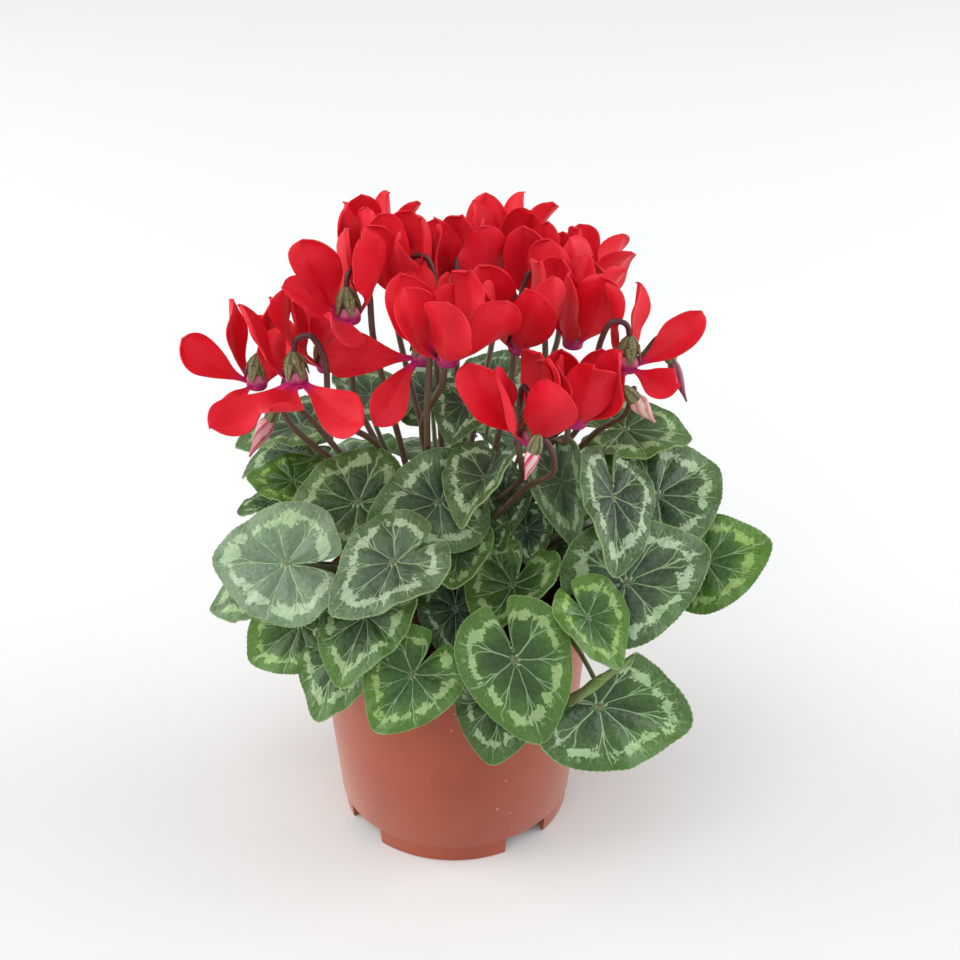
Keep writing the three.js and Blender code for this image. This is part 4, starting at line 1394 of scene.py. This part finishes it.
@dataclass
class Bloom:
    """One open bloom: its place and lean, the side of its stalk, and how each petal stands."""

    name: str
    at: Point
    lean: float
    tilt: float
    spin: float
    lift: Tuple[float, ...]
    trunk: Trunk
    fans: Tuple[float, ...] = ()
    via: Tuple[Point, ...] = ()
    twists: Tuple[float, ...] = (36, 36, 36, 36, 36)
    sizes: Tuple[float, ...] = (1, 1, 1, 1, 1)
    length: float = 30
    width: float = 14.5
    claw: float = 2.8
    hollow: float = 0.26
    curl: float = 4
    wring: float = 34
    nod: float = 30
    rolled: float = 0.3
    full: float = 0.68
    ruffle: float = 1.2
    slant: float = 0.34
    thickness: float = 0.5
    mouth: Tuple[float, float] = (2.8, 0.8)
    crease: float = 0.25
    hook: Profile = ((0, 10), (1.8, 15.6), (6.4, 16.4), (9.8, 8), (9.4, -11))
    even_fans: Tuple[float, ...] = (56, 118, 180, 242, 304)
    tube_rings: Profile = ((0.4, 3.0), (1.6, 1.2), (2.4, -0.5), (3.1, -0.7), (3.5, -0.2), (3.7, 1.2),
                           (3.7, 2.6), (3.4, 4.0), (3.0, 5.1), (1.2, 5.2))
    cup_rings: Profile = ((2.8, 5.2), (3.2, 5.9), (3.4, 7.3), (3.3, 8.6), (2.7, 9.9), (1.8, 10.9),
                          (1.1, 11.8))

    def frame(self) -> Matrix:
        """Where the bloom lies, at the mouth of its tube.

        Returns:
            The frame, Z from the mouth to the calyx.
        """
        tilt, lean = math.radians(self.tilt), math.radians(self.lean)
        axis = Vector((math.sin(tilt) * math.cos(lean), math.sin(tilt) * math.sin(lean), math.cos(tilt)))
        made = UP.rotation_difference(axis).to_matrix().to_4x4()
        made.translation = Vector(self.at)
        return made

    def half_width(self, share: float) -> float:
        """Half the width of a petal.

        Args:
            share: The share of its length.

        Returns:
            Half the width in millimetres.
        """
        claw = self.claw / 2
        spread = smoothstep(0.06, self.full, share)
        past = max(share - 0.64, 0) / 0.36
        return (claw + (self.width / 2 - claw) * spread) * max(0.0, 1 - past ** 2.3) ** 0.62 + 0.12

    def course(self, i: int, fan: float, seed: float) -> List[PetalRow]:
        """Follows one petal from the mouth, which it leaves level before it turns up.

        Args:
            i: The number of the petal.
            fan: Its turn round the axis, in degrees.
            seed: Its own number from 0 to 1.

        Returns:
            The rows of the petal, evenly spaced from its foot to its tip.
        """
        lift, twist, size = self.lift[i], self.twists[i], self.sizes[i]
        turn = math.radians(fan)
        out = Vector((math.cos(turn), math.sin(turn), 0))
        across = Vector((-math.sin(turn), math.cos(turn), 0))
        line = out * self.mouth[0] + UP * self.mouth[1]
        made = []
        for k in range(PETAL_STEPS + 1):
            share = k / PETAL_STEPS
            bend = smoothstep(0.16, 0.42, share)
            tip = self.nod * smoothstep(0.55, 1.0, share) * math.sin(seed * 17)
            angle = math.radians(lift * 0.62 * (1 - bend) + (lift + self.curl * share + tip) * bend)
            way = out * math.cos(angle) + UP * math.sin(angle)
            if k:
                line = line + way * (self.length * size / PETAL_STEPS)
            wring = twist * min(1, share / 0.4) + self.wring * math.sin(seed * 23) * smoothstep(0.3, 1, share)
            side = across.copy()
            side.rotate(Quaternion(way, -math.radians(wring)))
            made.append(PetalRow(line.copy(), side, way.cross(side), self.half_width(share) * size, way))
        return made

    def petal(self, i: int, fan: float, kit: Kit) -> bpy.types.Object:
        """Bends a copy of the strip into one petal: hollow, creased, rolled, ruffled and slanted.

        Args:
            i: The number of the petal.
            fan: Its turn round the axis, in degrees.
            kit: The finishes and the flat patterns.

        Returns:
            The petal, with its thickness.
        """
        piece = copy_of(kit.petal_sheet, "petal")
        seed = (i * 0.37 + self.at[0] * 0.013) % 1
        slant = self.slant * math.sin(seed * 41)
        rows = self.course(i, fan, seed)
        place = self.frame()
        places = []
        for share, side in zip(read_values(piece, "share"), read_values(piece, "side")):
            spot = share * PETAL_STEPS
            low = min(int(spot), PETAL_STEPS - 1)
            part = spot - low
            here, ahead = rows[low], rows[low + 1]
            half = here.half + (ahead.half - here.half) * part
            wave = share * 8 + seed * 20 + (2.2 if side > 0 else 0)
            rise = self.hollow * half * abs(side) ** 1.5
            rise += self.rolled * half * math.sin(seed * 31) * side ** 3 * smoothstep(0.25, 0.7, share)
            rise += self.ruffle * side ** 2 * share * math.sin(wave)
            rise -= self.crease * math.exp(-(side / 0.22) ** 2) * smoothstep(0.1, 0.4, share)
            point = here.line.lerp(ahead.line, part) + here.side.lerp(ahead.side, part) * (side * half)
            point += here.up.lerp(ahead.up, part) * rise
            point += here.way * (slant * side * half * smoothstep(0.4, 0.9, share))
            places.extend((place @ point) * MM)
        piece.data.vertices.foreach_set("co", places)
        write_values(piece, "seed", [seed] * len(piece.data.vertices))
        paint(piece, kit.petal, kit.tube)
        apply_modifier(piece, "SOLIDIFY", thickness=self.thickness * MM, offset=0)
        return piece

    def corolla(self, kit: Kit) -> bpy.types.Object:
        """Models the tube, its style and the five petals as one piece.

        Args:
            kit: The finishes and the flat patterns.

        Returns:
            The corolla.
        """
        place = self.frame()
        tube = turned("tube", self.tube_rings, sides=24)
        style = pipe("style", [Vector((0, 0, 3)), Vector((0.1, 0, 0)), Vector((0.2, 0.1, -1.6))],
                     [0.45, 0.4, 0.3], bevel=1)
        for part in (tube, style):
            write_values(part, "share", [corner.co.z / MM / 5 for corner in part.data.vertices])
            set_in(part, place)
            paint(part, kit.petal, kit.tube, slot=1)
        fans = self.fans or tuple(fan + self.spin for fan in self.even_fans)
        petals = [self.petal(i, fan, kit) for i, fan in enumerate(fans)]
        bloom = join([tube, style, *petals], f"{self.name}_bloom")
        soften(bloom, degrees=60)
        return bloom

    def hooked(self) -> List[Vector]:
        """The places of the hooked end of the stalk, from below up to the calyx.

        Returns:
            The places.
        """
        turn = math.radians(self.spin)
        place = self.frame()
        return [
            place @ Vector((reach * math.cos(turn), reach * math.sin(turn), height))
            for reach, height in reversed(self.hook)
        ]

    def calyx(self, kit: Kit) -> List[bpy.types.Object]:
        """Models the cup of the calyx and its pointed sepals.

        Args:
            kit: The finishes and the flat patterns.

        Returns:
            The cup and the sepals.
        """
        place = self.frame()
        cup = turned("cup", self.cup_rings, sides=20)
        write_ridges(cup)
        pieces = [cup]
        for k in range(SEPALS):
            sepal = flat_grid("sepal", 4, 8)
            turn = math.radians(360 / SEPALS * k + self.spin + 20)
            write_values(sepal, "ridge", [abs(corner.co.x * 2) for corner in sepal.data.vertices])
            for corner in sepal.data.vertices:
                share, side = corner.co.y + 0.5, corner.co.x * 2
                half = 2.2 * (1 - share) ** 0.6 + 0.1
                height = 8.4 - 5.6 * share
                radius = 3.35 + 0.5 * smoothstep(0, 0.5, share) + 0.4 * share ** 3
                angle = turn + side * half / radius
                corner.co = Vector((radius * math.cos(angle), radius * math.sin(angle), height)) * MM
            apply_modifier(sepal, "SOLIDIFY", thickness=0.45 * MM, offset=0)
            pieces.append(sepal)
        for piece in pieces:
            set_in(piece, place)
            paint(piece, kit.stalk, kit.calyx, slot=1)
        return pieces


BROAD = {"width": 16, "full": 0.52}

BLOOMS = (
    Bloom("left_outer", (-65, -4, 180), 0, 6, 14, (80, 73, 28, -14, 88), Trunk.LEFT,
          (72, 146, 175, 240, 334),
          twists=(80, -20, 36, 0, 36), sizes=(1, 1, 0.9, 0.6, 0.8)),
    Bloom("left_front", (-48, -26, 191), 180, 4, 0, (62, 66, -22, 4, -22), Trunk.LEFT,
          (100, 160, 212, 262, 315),
          ((-24, -8, 158),), twists=(85, -20, 10, 36, -44)),
    Bloom("left_back", (-43, 16, 177), 180, 5, -20, (78, 76, 42, 80, 78), Trunk.LEFT,
          (40, 100, 165, 225, 285)),
    Bloom("middle_left_front", (-8, -14, 193), 0, 4, 285, (76, 80, 4, -50, 84), Trunk.LEFT,
          (50, 105, 185, 228, 345), twists=(50, 50, 50, 50, 50), sizes=(1, 1, 1, 0.85, 1)),
    Bloom("middle_left", (-31, -14, 208), 180, 4, 50, (80, 78, 70, 46, 12), Trunk.LEFT,
          (15, 85, 145, 190, 265),
          twists=(36, 60, 5, 36, 36), sizes=(0.95, 0.95, 0.95, 0.75, 0.9), **BROAD),
    Bloom("middle_left_back", (-25, 38, 202), 90, 4, -50, (78, 76, 80, 76, 78), Trunk.MIDDLE, **BROAD),
    Bloom("middle_top", (-13, 14, 203), 90, 4, 340, (84, 84, 78, 76, 72), Trunk.MIDDLE,
          (30, 85, 140, 200, 262),
          **BROAD),
    Bloom("middle_front", (1, -34, 202), 270, 4, 100, (66, 74, 72, 52, 76), Trunk.MIDDLE,
          (148, 200, 270, 342, 45), ((-9, -8, 165),), **BROAD),
    Bloom("middle_right_front", (24, -14, 197), 270, 4, 100, (80, 78, 72, 74, 78), Trunk.RIGHT, **BROAD),
    Bloom("middle_back", (4, 31, 196), 90, 4, 265, (78, 78, 76, 80, 84), Trunk.MIDDLE, **BROAD),
    Bloom("middle_far", (21.5, 50, 198), 90, 4, 245, (76, 74, 70, 74, 76), Trunk.MIDDLE, **BROAD),
    Bloom("right_far", (34, 27, 194), 0, 4, 210, (82, 80, 78, 80, 82), Trunk.RIGHT, **BROAD),
    Bloom("right_back", (48, 43, 187), 0, 4, 215, (76, 72, 66, 72, 76), Trunk.RIGHT, **BROAD),
    Bloom("right_middle", (43, 5, 190), 0, 4, 190, (80, 82, 78, 82, 82), Trunk.RIGHT, **BROAD),
    Bloom("front_low", (27, -44, 179), 270, 6, 110, (60, 78, 74, 86, 82), Trunk.MIDDLE,
          (160, 215, 298, 22, 68),
          ((25, -20, 152),), **BROAD),
    Bloom("front_right", (42, -33, 179), 0, 4, 100, (84, 86, 86, 82, 74), Trunk.RIGHT,
          (40, 158, 215, 280, 338),
          ((36, -9, 160),), twists=(-36, 36, 36, 20, -50), sizes=(0.85, 0.85, 0.85, 0.95, 1), **BROAD),
    Bloom("right_outer", (59, -21, 193), 0, 4, 185, (80, 40, 4, -60, 78), Trunk.RIGHT,
          (78, 14, 305, 250, 128),
          ((34, -6, 158),), twists=(-75, -38, -38, -38, -38), sizes=(0.92, 0.94, 0.75, 0.55, 0.9)),
)


# Buds

@dataclass
class Bud:
    """One closed bud: the course of its stalk, where it hangs and its colouring."""

    name: str
    course: Tuple[Point, ...]
    at: Point
    tip: Point
    trunk: Trunk
    hue: Hue
    radius: float = 3
    turn: float = 100
    rings: int = 22
    ridges: int = 5
    cup_rings: Profile = ((0.9, -4.0), (1.4, -3.4), (1.9, -2.0), (2.3, -0.6), (2.4, 1.2), (2.0, 2.2))

    def frame(self) -> Tuple[float, Matrix]:
        """Where the bud lies, at its calyx.

        Returns:
            Its length, and its frame with Z from its calyx to its tip.
        """
        way = Vector(self.tip) - Vector(self.at)
        made = UP.rotation_difference(way.normalized()).to_matrix().to_4x4()
        made.translation = Vector(self.at)
        return way.length, made

    def size(self, share: float) -> float:
        """The bud's girth at a share of its length, 1 at its widest."""
        rise = 0.5 + 0.5 * smoothstep(-0.05, 0.3, share)
        return rise * (1 - 0.86 * smoothstep(0.25, 1.05, share) ** 1.15)

    def model(self, kit: Kit) -> bpy.types.Object:
        """Models the wound petals: a turned spindle that is twisted into ridges.

        Args:
            kit: The finishes and the flat patterns.

        Returns:
            The bud.
        """
        length, place = self.frame()
        profile = [(self.radius * self.size(k / self.rings), GAP + (length - GAP) * k / self.rings)
                   for k in range(self.rings + 1)]
        bud = turned("bud", profile, sides=40)
        along, ridge = [], []
        for corner in bud.data.vertices:
            point = corner.co / MM
            share = (point.z - GAP) / (length - GAP)
            around = math.atan2(point.y, point.x)
            angle = around + math.radians(self.turn) * share
            wound = (self.ridges * around / (2 * math.pi)) % 1
            radius = math.hypot(point.x, point.y) * (0.86 + 0.16 * wound)
            along.append(share)
            ridge.append(wound)
            corner.co = Vector((radius * math.cos(angle), radius * math.sin(angle), point.z)) * MM
        set_in(bud, place)
        write_values(bud, "along", along)
        write_values(bud, "ridge", ridge)
        paint(bud, kit.buds[self.hue])
        bud.name = f"{self.name}_bud"
        soften(bud, degrees=50)
        return bud

    def calyx(self, kit: Kit) -> bpy.types.Object:
        """Models the small cup that holds the bud.

        Args:
            kit: The finishes and the flat patterns.

        Returns:
            The cup.
        """
        _, place = self.frame()
        cup = turned("cup", self.cup_rings, sides=16)
        write_ridges(cup)
        set_in(cup, place)
        paint(cup, kit.stalk, kit.calyx, slot=1)
        return cup

    def hooked(self) -> List[Vector]:
        """The places of the stalk above its climb, up to the calyx."""
        _, place = self.frame()
        return [*(Vector(point) for point in self.course), place @ Vector((0, 0, -1))]


BUDS = (
    Bud("right_mauve", ((58, 23, 164), (69, 15, 182), (74, 15, 188), (77.5, 15, 185)),
        (78, 15, 181), (85, 15, 163), Trunk.RIGHT, Hue.MAUVE, radius=2.3),
    Bud("right_pale", ((50, -8, 162), (59, -21, 176), (60, -30, 187), (60, -36, 193)),
        (59, -39, 192), (67, -38, 182), Trunk.RIGHT, Hue.PALE),
    Bud("left_pink", ((-44, -8, 165), (-51, -12, 176), (-55, -14, 179), (-58, -14, 177)),
        (-59, -14, 174), (-68, -14, 158), Trunk.LEFT, Hue.PINK),
    Bud("front_striped", ((25.5, -28, 152), (34, -49, 170), (33, -57, 182), (30.5, -59, 187)),
        (28, -59, 185), (25, -57, 172), Trunk.MIDDLE, Hue.STRIPED, radius=2.4),
)


TRUNKS = {Trunk.LEFT: (-7.5, 0), Trunk.MIDDLE: (0, 0), Trunk.RIGHT: (7.5, 0)}


@dataclass
class StalkCluster:
    """The flower stalks and calyces that grow from one short trunk on the crown."""

    trunk: Trunk
    middle: Tuple[float, float]
    radius: float = 3.7
    height: float = 6
    spread: float = 2.2
    stalk_radius: float = 1.05
    flower_climb: float = 13
    bud_climb: float = 6.5

    def foot(self, at: Point) -> Vector:
        """Where a stalk starts: on the side of the trunk that its flower is on."""
        way = Vector((at[0] - self.middle[0], at[1] - self.middle[1], 0)).normalized() * self.spread
        return way + Vector((*self.middle, CROWN_TOP + GAP + self.height / 2))

    def stalk(self, at: Point, via: Sequence[Vector], places: Sequence[Vector], climb_rise: float,
              kit: Kit) -> bpy.types.Object:
        """Models one stalk through its climb, the places on its way and its hook.

        Args:
            at: Where its flower is.
            via: The places on its way.
            places: The places of its hooked end.
            climb_rise: How much it climbs at first.
            kit: The finishes and the flat patterns.

        Returns:
            The stalk.
        """
        foot = self.foot(at)
        first = via[0] if via else places[0]
        climb = foot.lerp(first, 0.35)
        climb.z += climb_rise
        line = catmull([foot, climb, *via, *places], 9)
        last = len(line) - 1
        radii = [self.stalk_radius * (1.12 - 0.25 * smoothstep(0, 1, k / last)) for k in range(last + 1)]
        piece = pipe("stalk", line, radii)
        paint(piece, kit.stalk, kit.calyx)
        return piece

    def model(self, kit: Kit) -> bpy.types.Object:
        """Models the whole cluster as one piece in place of its node.

        Args:
            kit: The finishes and the flat patterns.

        Returns:
            The cluster.
        """
        low = CROWN_TOP + GAP
        trunk = turned("trunk", ((self.radius, low), (3.75, low + 1.4), (3.3, low + 3.2), (2.6, low + 4.8),
                                 (1.2, low + self.height)), sides=20)
        for corner in trunk.data.vertices:
            corner.co += Vector((*self.middle, 0)) * MM
        paint(trunk, kit.stalk, kit.calyx)
        pieces = [trunk]
        for bloom in (bloom for bloom in BLOOMS if bloom.trunk is self.trunk):
            via = [Vector(point) for point in bloom.via]
            pieces.append(self.stalk(bloom.at, via, bloom.hooked(), self.flower_climb, kit))
            pieces.extend(bloom.calyx(kit))
        for bud in (bud for bud in BUDS if bud.trunk is self.trunk):
            pieces.append(self.stalk(bud.at, [], bud.hooked(), self.bud_climb, kit))
            pieces.append(bud.calyx(kit))
        cluster = join(pieces, f"{self.trunk.value}_flower_stalks")
        soften(cluster, degrees=55)
        return cluster


# Pot, peat and tuber

class Cut(Enum):
    """What is cut out of the pot."""

    NOTCH = "notch"
    DRAIN = "drain"


@dataclass
class Pot:
    """The nursery pot: leaning wall, rim, floor, and a foot that four notches cut up."""

    base_radius: float = 44
    lean: float = 0.074
    height: float = 92
    foot_height: float = 7.6
    foot_inset: float = 0.6
    step_out: float = 1.2
    foot_wall: float = 2.4
    wall: float = 1.7
    rim_height: float = 8
    rim_out: float = 1.8
    floor_low: float = 8.2
    floor_thickness: float = 1.6
    centre_radius: float = 9
    centre_lean: float = 0.15
    notch_width: float = 19
    notch_azimuth: float = 38
    drain_radius: float = 4
    drain_reach: float = 26
    sides: int = 120

    def outside(self, z: float) -> float:
        """The wall's outside radius at a height."""
        return self.base_radius + self.step_out + self.lean * (z - self.foot_height)

    def centre(self, z: float) -> float:
        """The outside radius of the floor's lowered centre at a height."""
        return self.centre_radius + self.centre_lean * z

    def cutter(self, turn: float, cut: Cut) -> bpy.types.Object:
        """Places the block that cuts a notch, or the round bar that cuts a drain hole.

        Args:
            turn: The turn of the cut round the pot, in radians.
            cut: What it cuts.

        Returns:
            The cutter.
        """
        deselect()
        if cut is Cut.NOTCH:
            bpy.ops.mesh.primitive_cube_add(size=1, location=(self.base_radius * MM, 0, 0))
            cutter = bpy.context.active_object
            cutter.scale = (12 * MM, self.notch_width * MM, 2 * self.foot_height * MM)
        else:
            bpy.ops.mesh.primitive_cylinder_add(
                vertices=32, radius=self.drain_radius * MM, depth=6 * MM,
                location=(self.drain_reach * MM, 0, self.floor_low * MM),
            )
            cutter = bpy.context.active_object
        bpy.ops.object.transform_apply(location=True, rotation=True, scale=True)
        if cut is Cut.NOTCH:
            apply_modifier(cutter, "BEVEL", width=1.2 * MM, segments=3)
        cutter.data.transform(Matrix.Rotation(turn, 4, "Z"))
        return cutter

    def model(self, kit: Kit) -> bpy.types.Object:
        """Models the pot in place of its node.

        Args:
            kit: The finishes and the flat patterns.

        Returns:
            The pot.
        """
        rim_low = self.height - self.rim_height
        rim = self.outside(rim_low) + self.rim_out
        floor_top = self.floor_low + self.floor_thickness
        inner = self.base_radius - self.foot_wall
        profile = (
            (2, 0), (self.centre(0) - 0.5, 0), (self.centre(0), 0.5),
            (self.centre(self.floor_low), self.floor_low),
            (inner - 0.3, self.floor_low), (inner, self.floor_low - 1), (inner + 0.3, 0.4),
            (inner + 0.7, 0), (self.base_radius - 0.5, 0), (self.base_radius, 0.5),
            (self.base_radius + self.foot_inset, self.foot_height - 0.1),
            (self.outside(self.foot_height) - 0.15, self.foot_height + 0.2),
            (self.outside(self.foot_height), self.foot_height + 0.6),
            (self.outside(40), 40), (self.outside(rim_low), rim_low),
            (rim - 0.6, rim_low + 0.1), (rim - 0.15, rim_low + 0.4), (rim - 0.05, rim_low + 1),
            (rim, self.height - 1.2), (rim - 0.3, self.height - 0.4), (rim - 1, self.height),
            (rim - 1.7, self.height - 0.3), (rim - 2, self.height - 1),
            (self.outside(rim_low) - self.wall + 0.4, rim_low - 0.6),
            (self.outside(floor_top) - self.wall, floor_top + 0.6),
            (self.outside(floor_top) - self.wall - 0.8, floor_top),
            (self.centre(floor_top) - self.wall, floor_top),
            (self.centre(1.6) - self.wall, self.floor_thickness), (2, self.floor_thickness),
        )
        pot = turned("nursery_pot", profile, self.sides)
        for k in range(4):
            turn = math.radians(self.notch_azimuth - 90 + 90 * k)
            for cut in Cut:
                cutter = self.cutter(turn, cut)
                apply_modifier(pot, "BOOLEAN", operation="DIFFERENCE", object=cutter, solver="EXACT")
                bpy.data.objects.remove(cutter, do_unlink=True)
        paint(pot, kit.pot)
        soften(pot, degrees=32)
        return pot


@dataclass
class Peat:
    """The peat: it fills the pot to below its rim, in low crumbled waves round a hollow for the tuber."""

    top: float = 82
    mound: float = 1.5
    wave: float = 0.9
    hollow_radius: float = 23
    hollow_floor: float = 72.4
    sides: int = 96

    def model(self, pot: Pot, kit: Kit) -> bpy.types.Object:
        """Models the peat in place of its node.

        Args:
            pot: The pot that it fills.
            kit: The finishes and the flat patterns.

        Returns:
            The peat.
        """
        low = pot.floor_low + pot.floor_thickness + GAP
        lowest = pot.floor_thickness + GAP

        def inside(z: float) -> float:
            """The peat's radius where it lies against the pot's wall."""
            return pot.outside(z) - pot.wall - 2 * GAP

        rings = [(38 - 1.5 * k, self.top + self.mound) for k in range(10)]
        profile = (
            (2, lowest), (pot.centre(lowest) - pot.wall - 2 * GAP, lowest),
            (pot.centre(low) - pot.wall - 2 * GAP, low), (inside(low), low), (inside(self.top), self.top),
            (46, self.top + 0.4), (43, self.top + 0.9), (40, self.top + 1.3), *rings,
            (self.hollow_radius, self.top + self.mound), (self.hollow_radius - 0.2, 77),
            (15.5, self.hollow_floor), (2, self.hollow_floor),
        )
        peat = turned("peat_bed", profile, self.sides)
        for corner in peat.data.vertices:
            x, y, z = corner.co / MM
            if z > self.top + 0.2:
                crumb = 0.5 * math.sin(x * 2.9 + y * 1.3) * math.sin(y * 3.7 - x * 0.8)
                corner.co.z += (self.wave * math.sin(x * 0.9) * math.cos(y * 0.7) * 0.7 + crumb) * MM
        paint(peat, kit.peat)
        soften(peat, degrees=50)
        return peat


@dataclass
class Tuber:
    """The flattened tuber with the level crown that every stalk grows from."""

    radius: float = 22
    low: float = 73

    def model(self, kit: Kit) -> bpy.types.Object:
        """Models the tuber in place of its node.

        Args:
            kit: The finishes and the flat patterns.

        Returns:
            The tuber.
        """
        profile = (
            (3, self.low), (12, self.low + 0.1), (16, self.low + 1.6),
            (self.radius - 1.4, self.low + 5), (self.radius - 0.3, self.low + 7.6),
            (self.radius, self.low + 10), (self.radius - 0.2, 86.5), (self.radius - 1.2, 89),
            (20.2, 90.6), (18.6, CROWN_TOP - 0.1), (12, CROWN_TOP), (3, CROWN_TOP),
        )
        tuber = turned("tuber_corm", profile, sides=60)
        for corner in tuber.data.vertices:
            x, y, z = corner.co / MM
            if z < CROWN_TOP - 0.6 and z > self.low + 1:
                angle = math.atan2(y, x)
                swell = 1 - 0.012 * (1 + math.sin(5 * angle + z) * math.cos(3 * angle - 0.5 * z))
                corner.co.x *= swell
                corner.co.y *= swell
        paint(tuber, kit.tuber)
        soften(tuber, degrees=50)
        return tuber


# Studio

@dataclass
class Lamp:
    """A soft square lamp that faces the plant."""

    name: str
    place: Point
    size: float
    power: float
    tint: Tuple[float, float, float] = (1.0, 1.0, 1.0)

    def hang(self, aim: Vector) -> None:
        """Hangs the lamp and turns it to the plant.

        Args:
            aim: The middle of the plant.
        """
        light = bpy.data.lights.new(self.name, "AREA")
        light.shape = "SQUARE"
        light.size = self.size
        light.energy = self.power
        light.color = self.tint
        lamp = put_in_scene(self.name, light)
        lamp.location = self.place
        lamp.rotation_euler = (Vector(self.place) - aim).to_track_quat("Z", "Y").to_euler()


@dataclass
class Studio:
    """The pale floor, the lamps and the camera."""

    aim: Point = (0.0108, 0.0, 0.14)
    distance: float = 0.527
    elevation: float = 29.3
    roll: float = -0.55
    lens: float = 55.4
    sensor: float = 36
    floor_size: float = 12
    floor_tint: Tuple[float, ...] = (0.79, 0.793, 0.787, 1)
    sky: float = 0.7
    sky_tint: Tuple[float, ...] = (0.97, 0.985, 1.0, 1)
    sun: float = 0.95
    sun_softness: float = 50
    sun_place: Point = (-0.3, -0.95, 1.2)
    lamps: Tuple[Lamp, ...] = field(default_factory=lambda: (
        Lamp("left_window", (-1.95, 0.1, 0.8), 1.5, 27, (1.0, 0.99, 0.97)),
        Lamp("right_window", (1.95, 0.1, 0.75), 1.5, 25, (0.97, 0.985, 1.0)),
    ))

    def lay_floor(self) -> None:
        """Lays the floor."""
        deselect()
        bpy.ops.mesh.primitive_plane_add(size=self.floor_size)
        floor = bpy.context.active_object
        floor.name = "studio_floor"
        board = Board("studio_floor")
        board.set(Base_Color=self.floor_tint, Roughness=0.75, Specular_IOR_Level=0.1)
        paint(floor, board.material)

    def light(self) -> None:
        """Sets the sky, the soft sun and the lamps."""
        world = bpy.data.worlds.new("studio_sky")
        world.use_nodes = True
        sky = world.node_tree.nodes["Background"]
        sky.inputs["Color"].default_value = self.sky_tint
        sky.inputs["Strength"].default_value = self.sky
        bpy.context.scene.world = world
        light = bpy.data.lights.new("sun", "SUN")
        light.energy = self.sun
        light.angle = math.radians(self.sun_softness)
        sun = put_in_scene("sun", light)
        sun.rotation_euler = Vector(self.sun_place).to_track_quat("Z", "Y").to_euler()
        for lamp in self.lamps:
            lamp.hang(Vector(self.aim))

    def set_camera(self) -> None:
        """Sets the camera at the height, the distance and the slight roll of the picture."""
        rise, roll = math.radians(self.elevation), math.radians(self.roll)
        ahead = Vector((0, math.cos(rise), -math.sin(rise)))
        right = Vector((1, 0, 0))
        above = right.cross(ahead)
        x_axis = right * math.cos(roll) + above * math.sin(roll)
        y_axis = above * math.cos(roll) - right * math.sin(roll)
        camera = put_in_scene("camera", bpy.data.cameras.new("camera"))
        place = Matrix((x_axis, y_axis, -ahead)).transposed().to_4x4()
        place.translation = Vector(self.aim) - ahead * self.distance
        camera.matrix_world = place
        camera.data.lens = self.lens
        camera.data.sensor_width = self.sensor
        camera.data.clip_start = 0.01
        bpy.context.scene.camera = camera
        bpy.context.scene.view_settings.view_transform = "Standard"


# The whole plant

def report(piece: bpy.types.Object, node: str) -> None:
    """Reports a finished piece and what it stands for."""
    LOG.info("%s: %d faces, for %s", piece.name, len(piece.data.polygons), node)


class Cyclamen:
    """The plant in its pot, piece by piece."""

    def __init__(self) -> None:
        self.kit = Kit()
        self.pot = Pot()

    def keep(self, piece: bpy.types.Object, node: str) -> None:
        """Puts a finished piece in its node's place and reports it.

        Args:
            piece: The finished piece.
            node: The node that it stands for.
        """
        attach(piece, "root")
        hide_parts(node)
        report(piece, node)

    def build(self) -> None:
        """Builds every piece."""
        self.keep(self.pot.model(self.kit), "pot")
        self.keep(Peat().model(self.pot, self.kit), "peat")
        self.keep(Tuber().model(self.kit), "tuber")
        for trunk, middle in TRUNKS.items():
            self.keep(StalkCluster(trunk, middle).model(self.kit), f"stalks_{trunk.value}")
        for leaf in (*FRONT_LEAVES, *(leaf for row in BACK_ROWS for leaf in row.leaves())):
            self.keep(leaf.model(self.kit), leaf.node)
        young = YoungLeaves().model(self.kit)
        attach(young, "root")
        report(young, "no node")
        for bloom in BLOOMS:
            self.keep(bloom.corolla(self.kit), f"bloom_{bloom.name}")
        for bud in BUDS:
            self.keep(bud.model(self.kit), f"bud_{bud.name}")
        self.kit.clear()
        deselect()


def write_sizes() -> None:
    """Brings the scene up to date."""
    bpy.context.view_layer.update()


def main() -> None:
    """Builds the studio and the plant."""
    logging.basicConfig(level=logging.INFO, format="%(name)s: %(message)s")
    studio = Studio()
    studio.set_camera()
    studio.lay_floor()
    studio.light()
    Cyclamen().build()
    write_sizes()


if __name__ == "__main__":
    main()
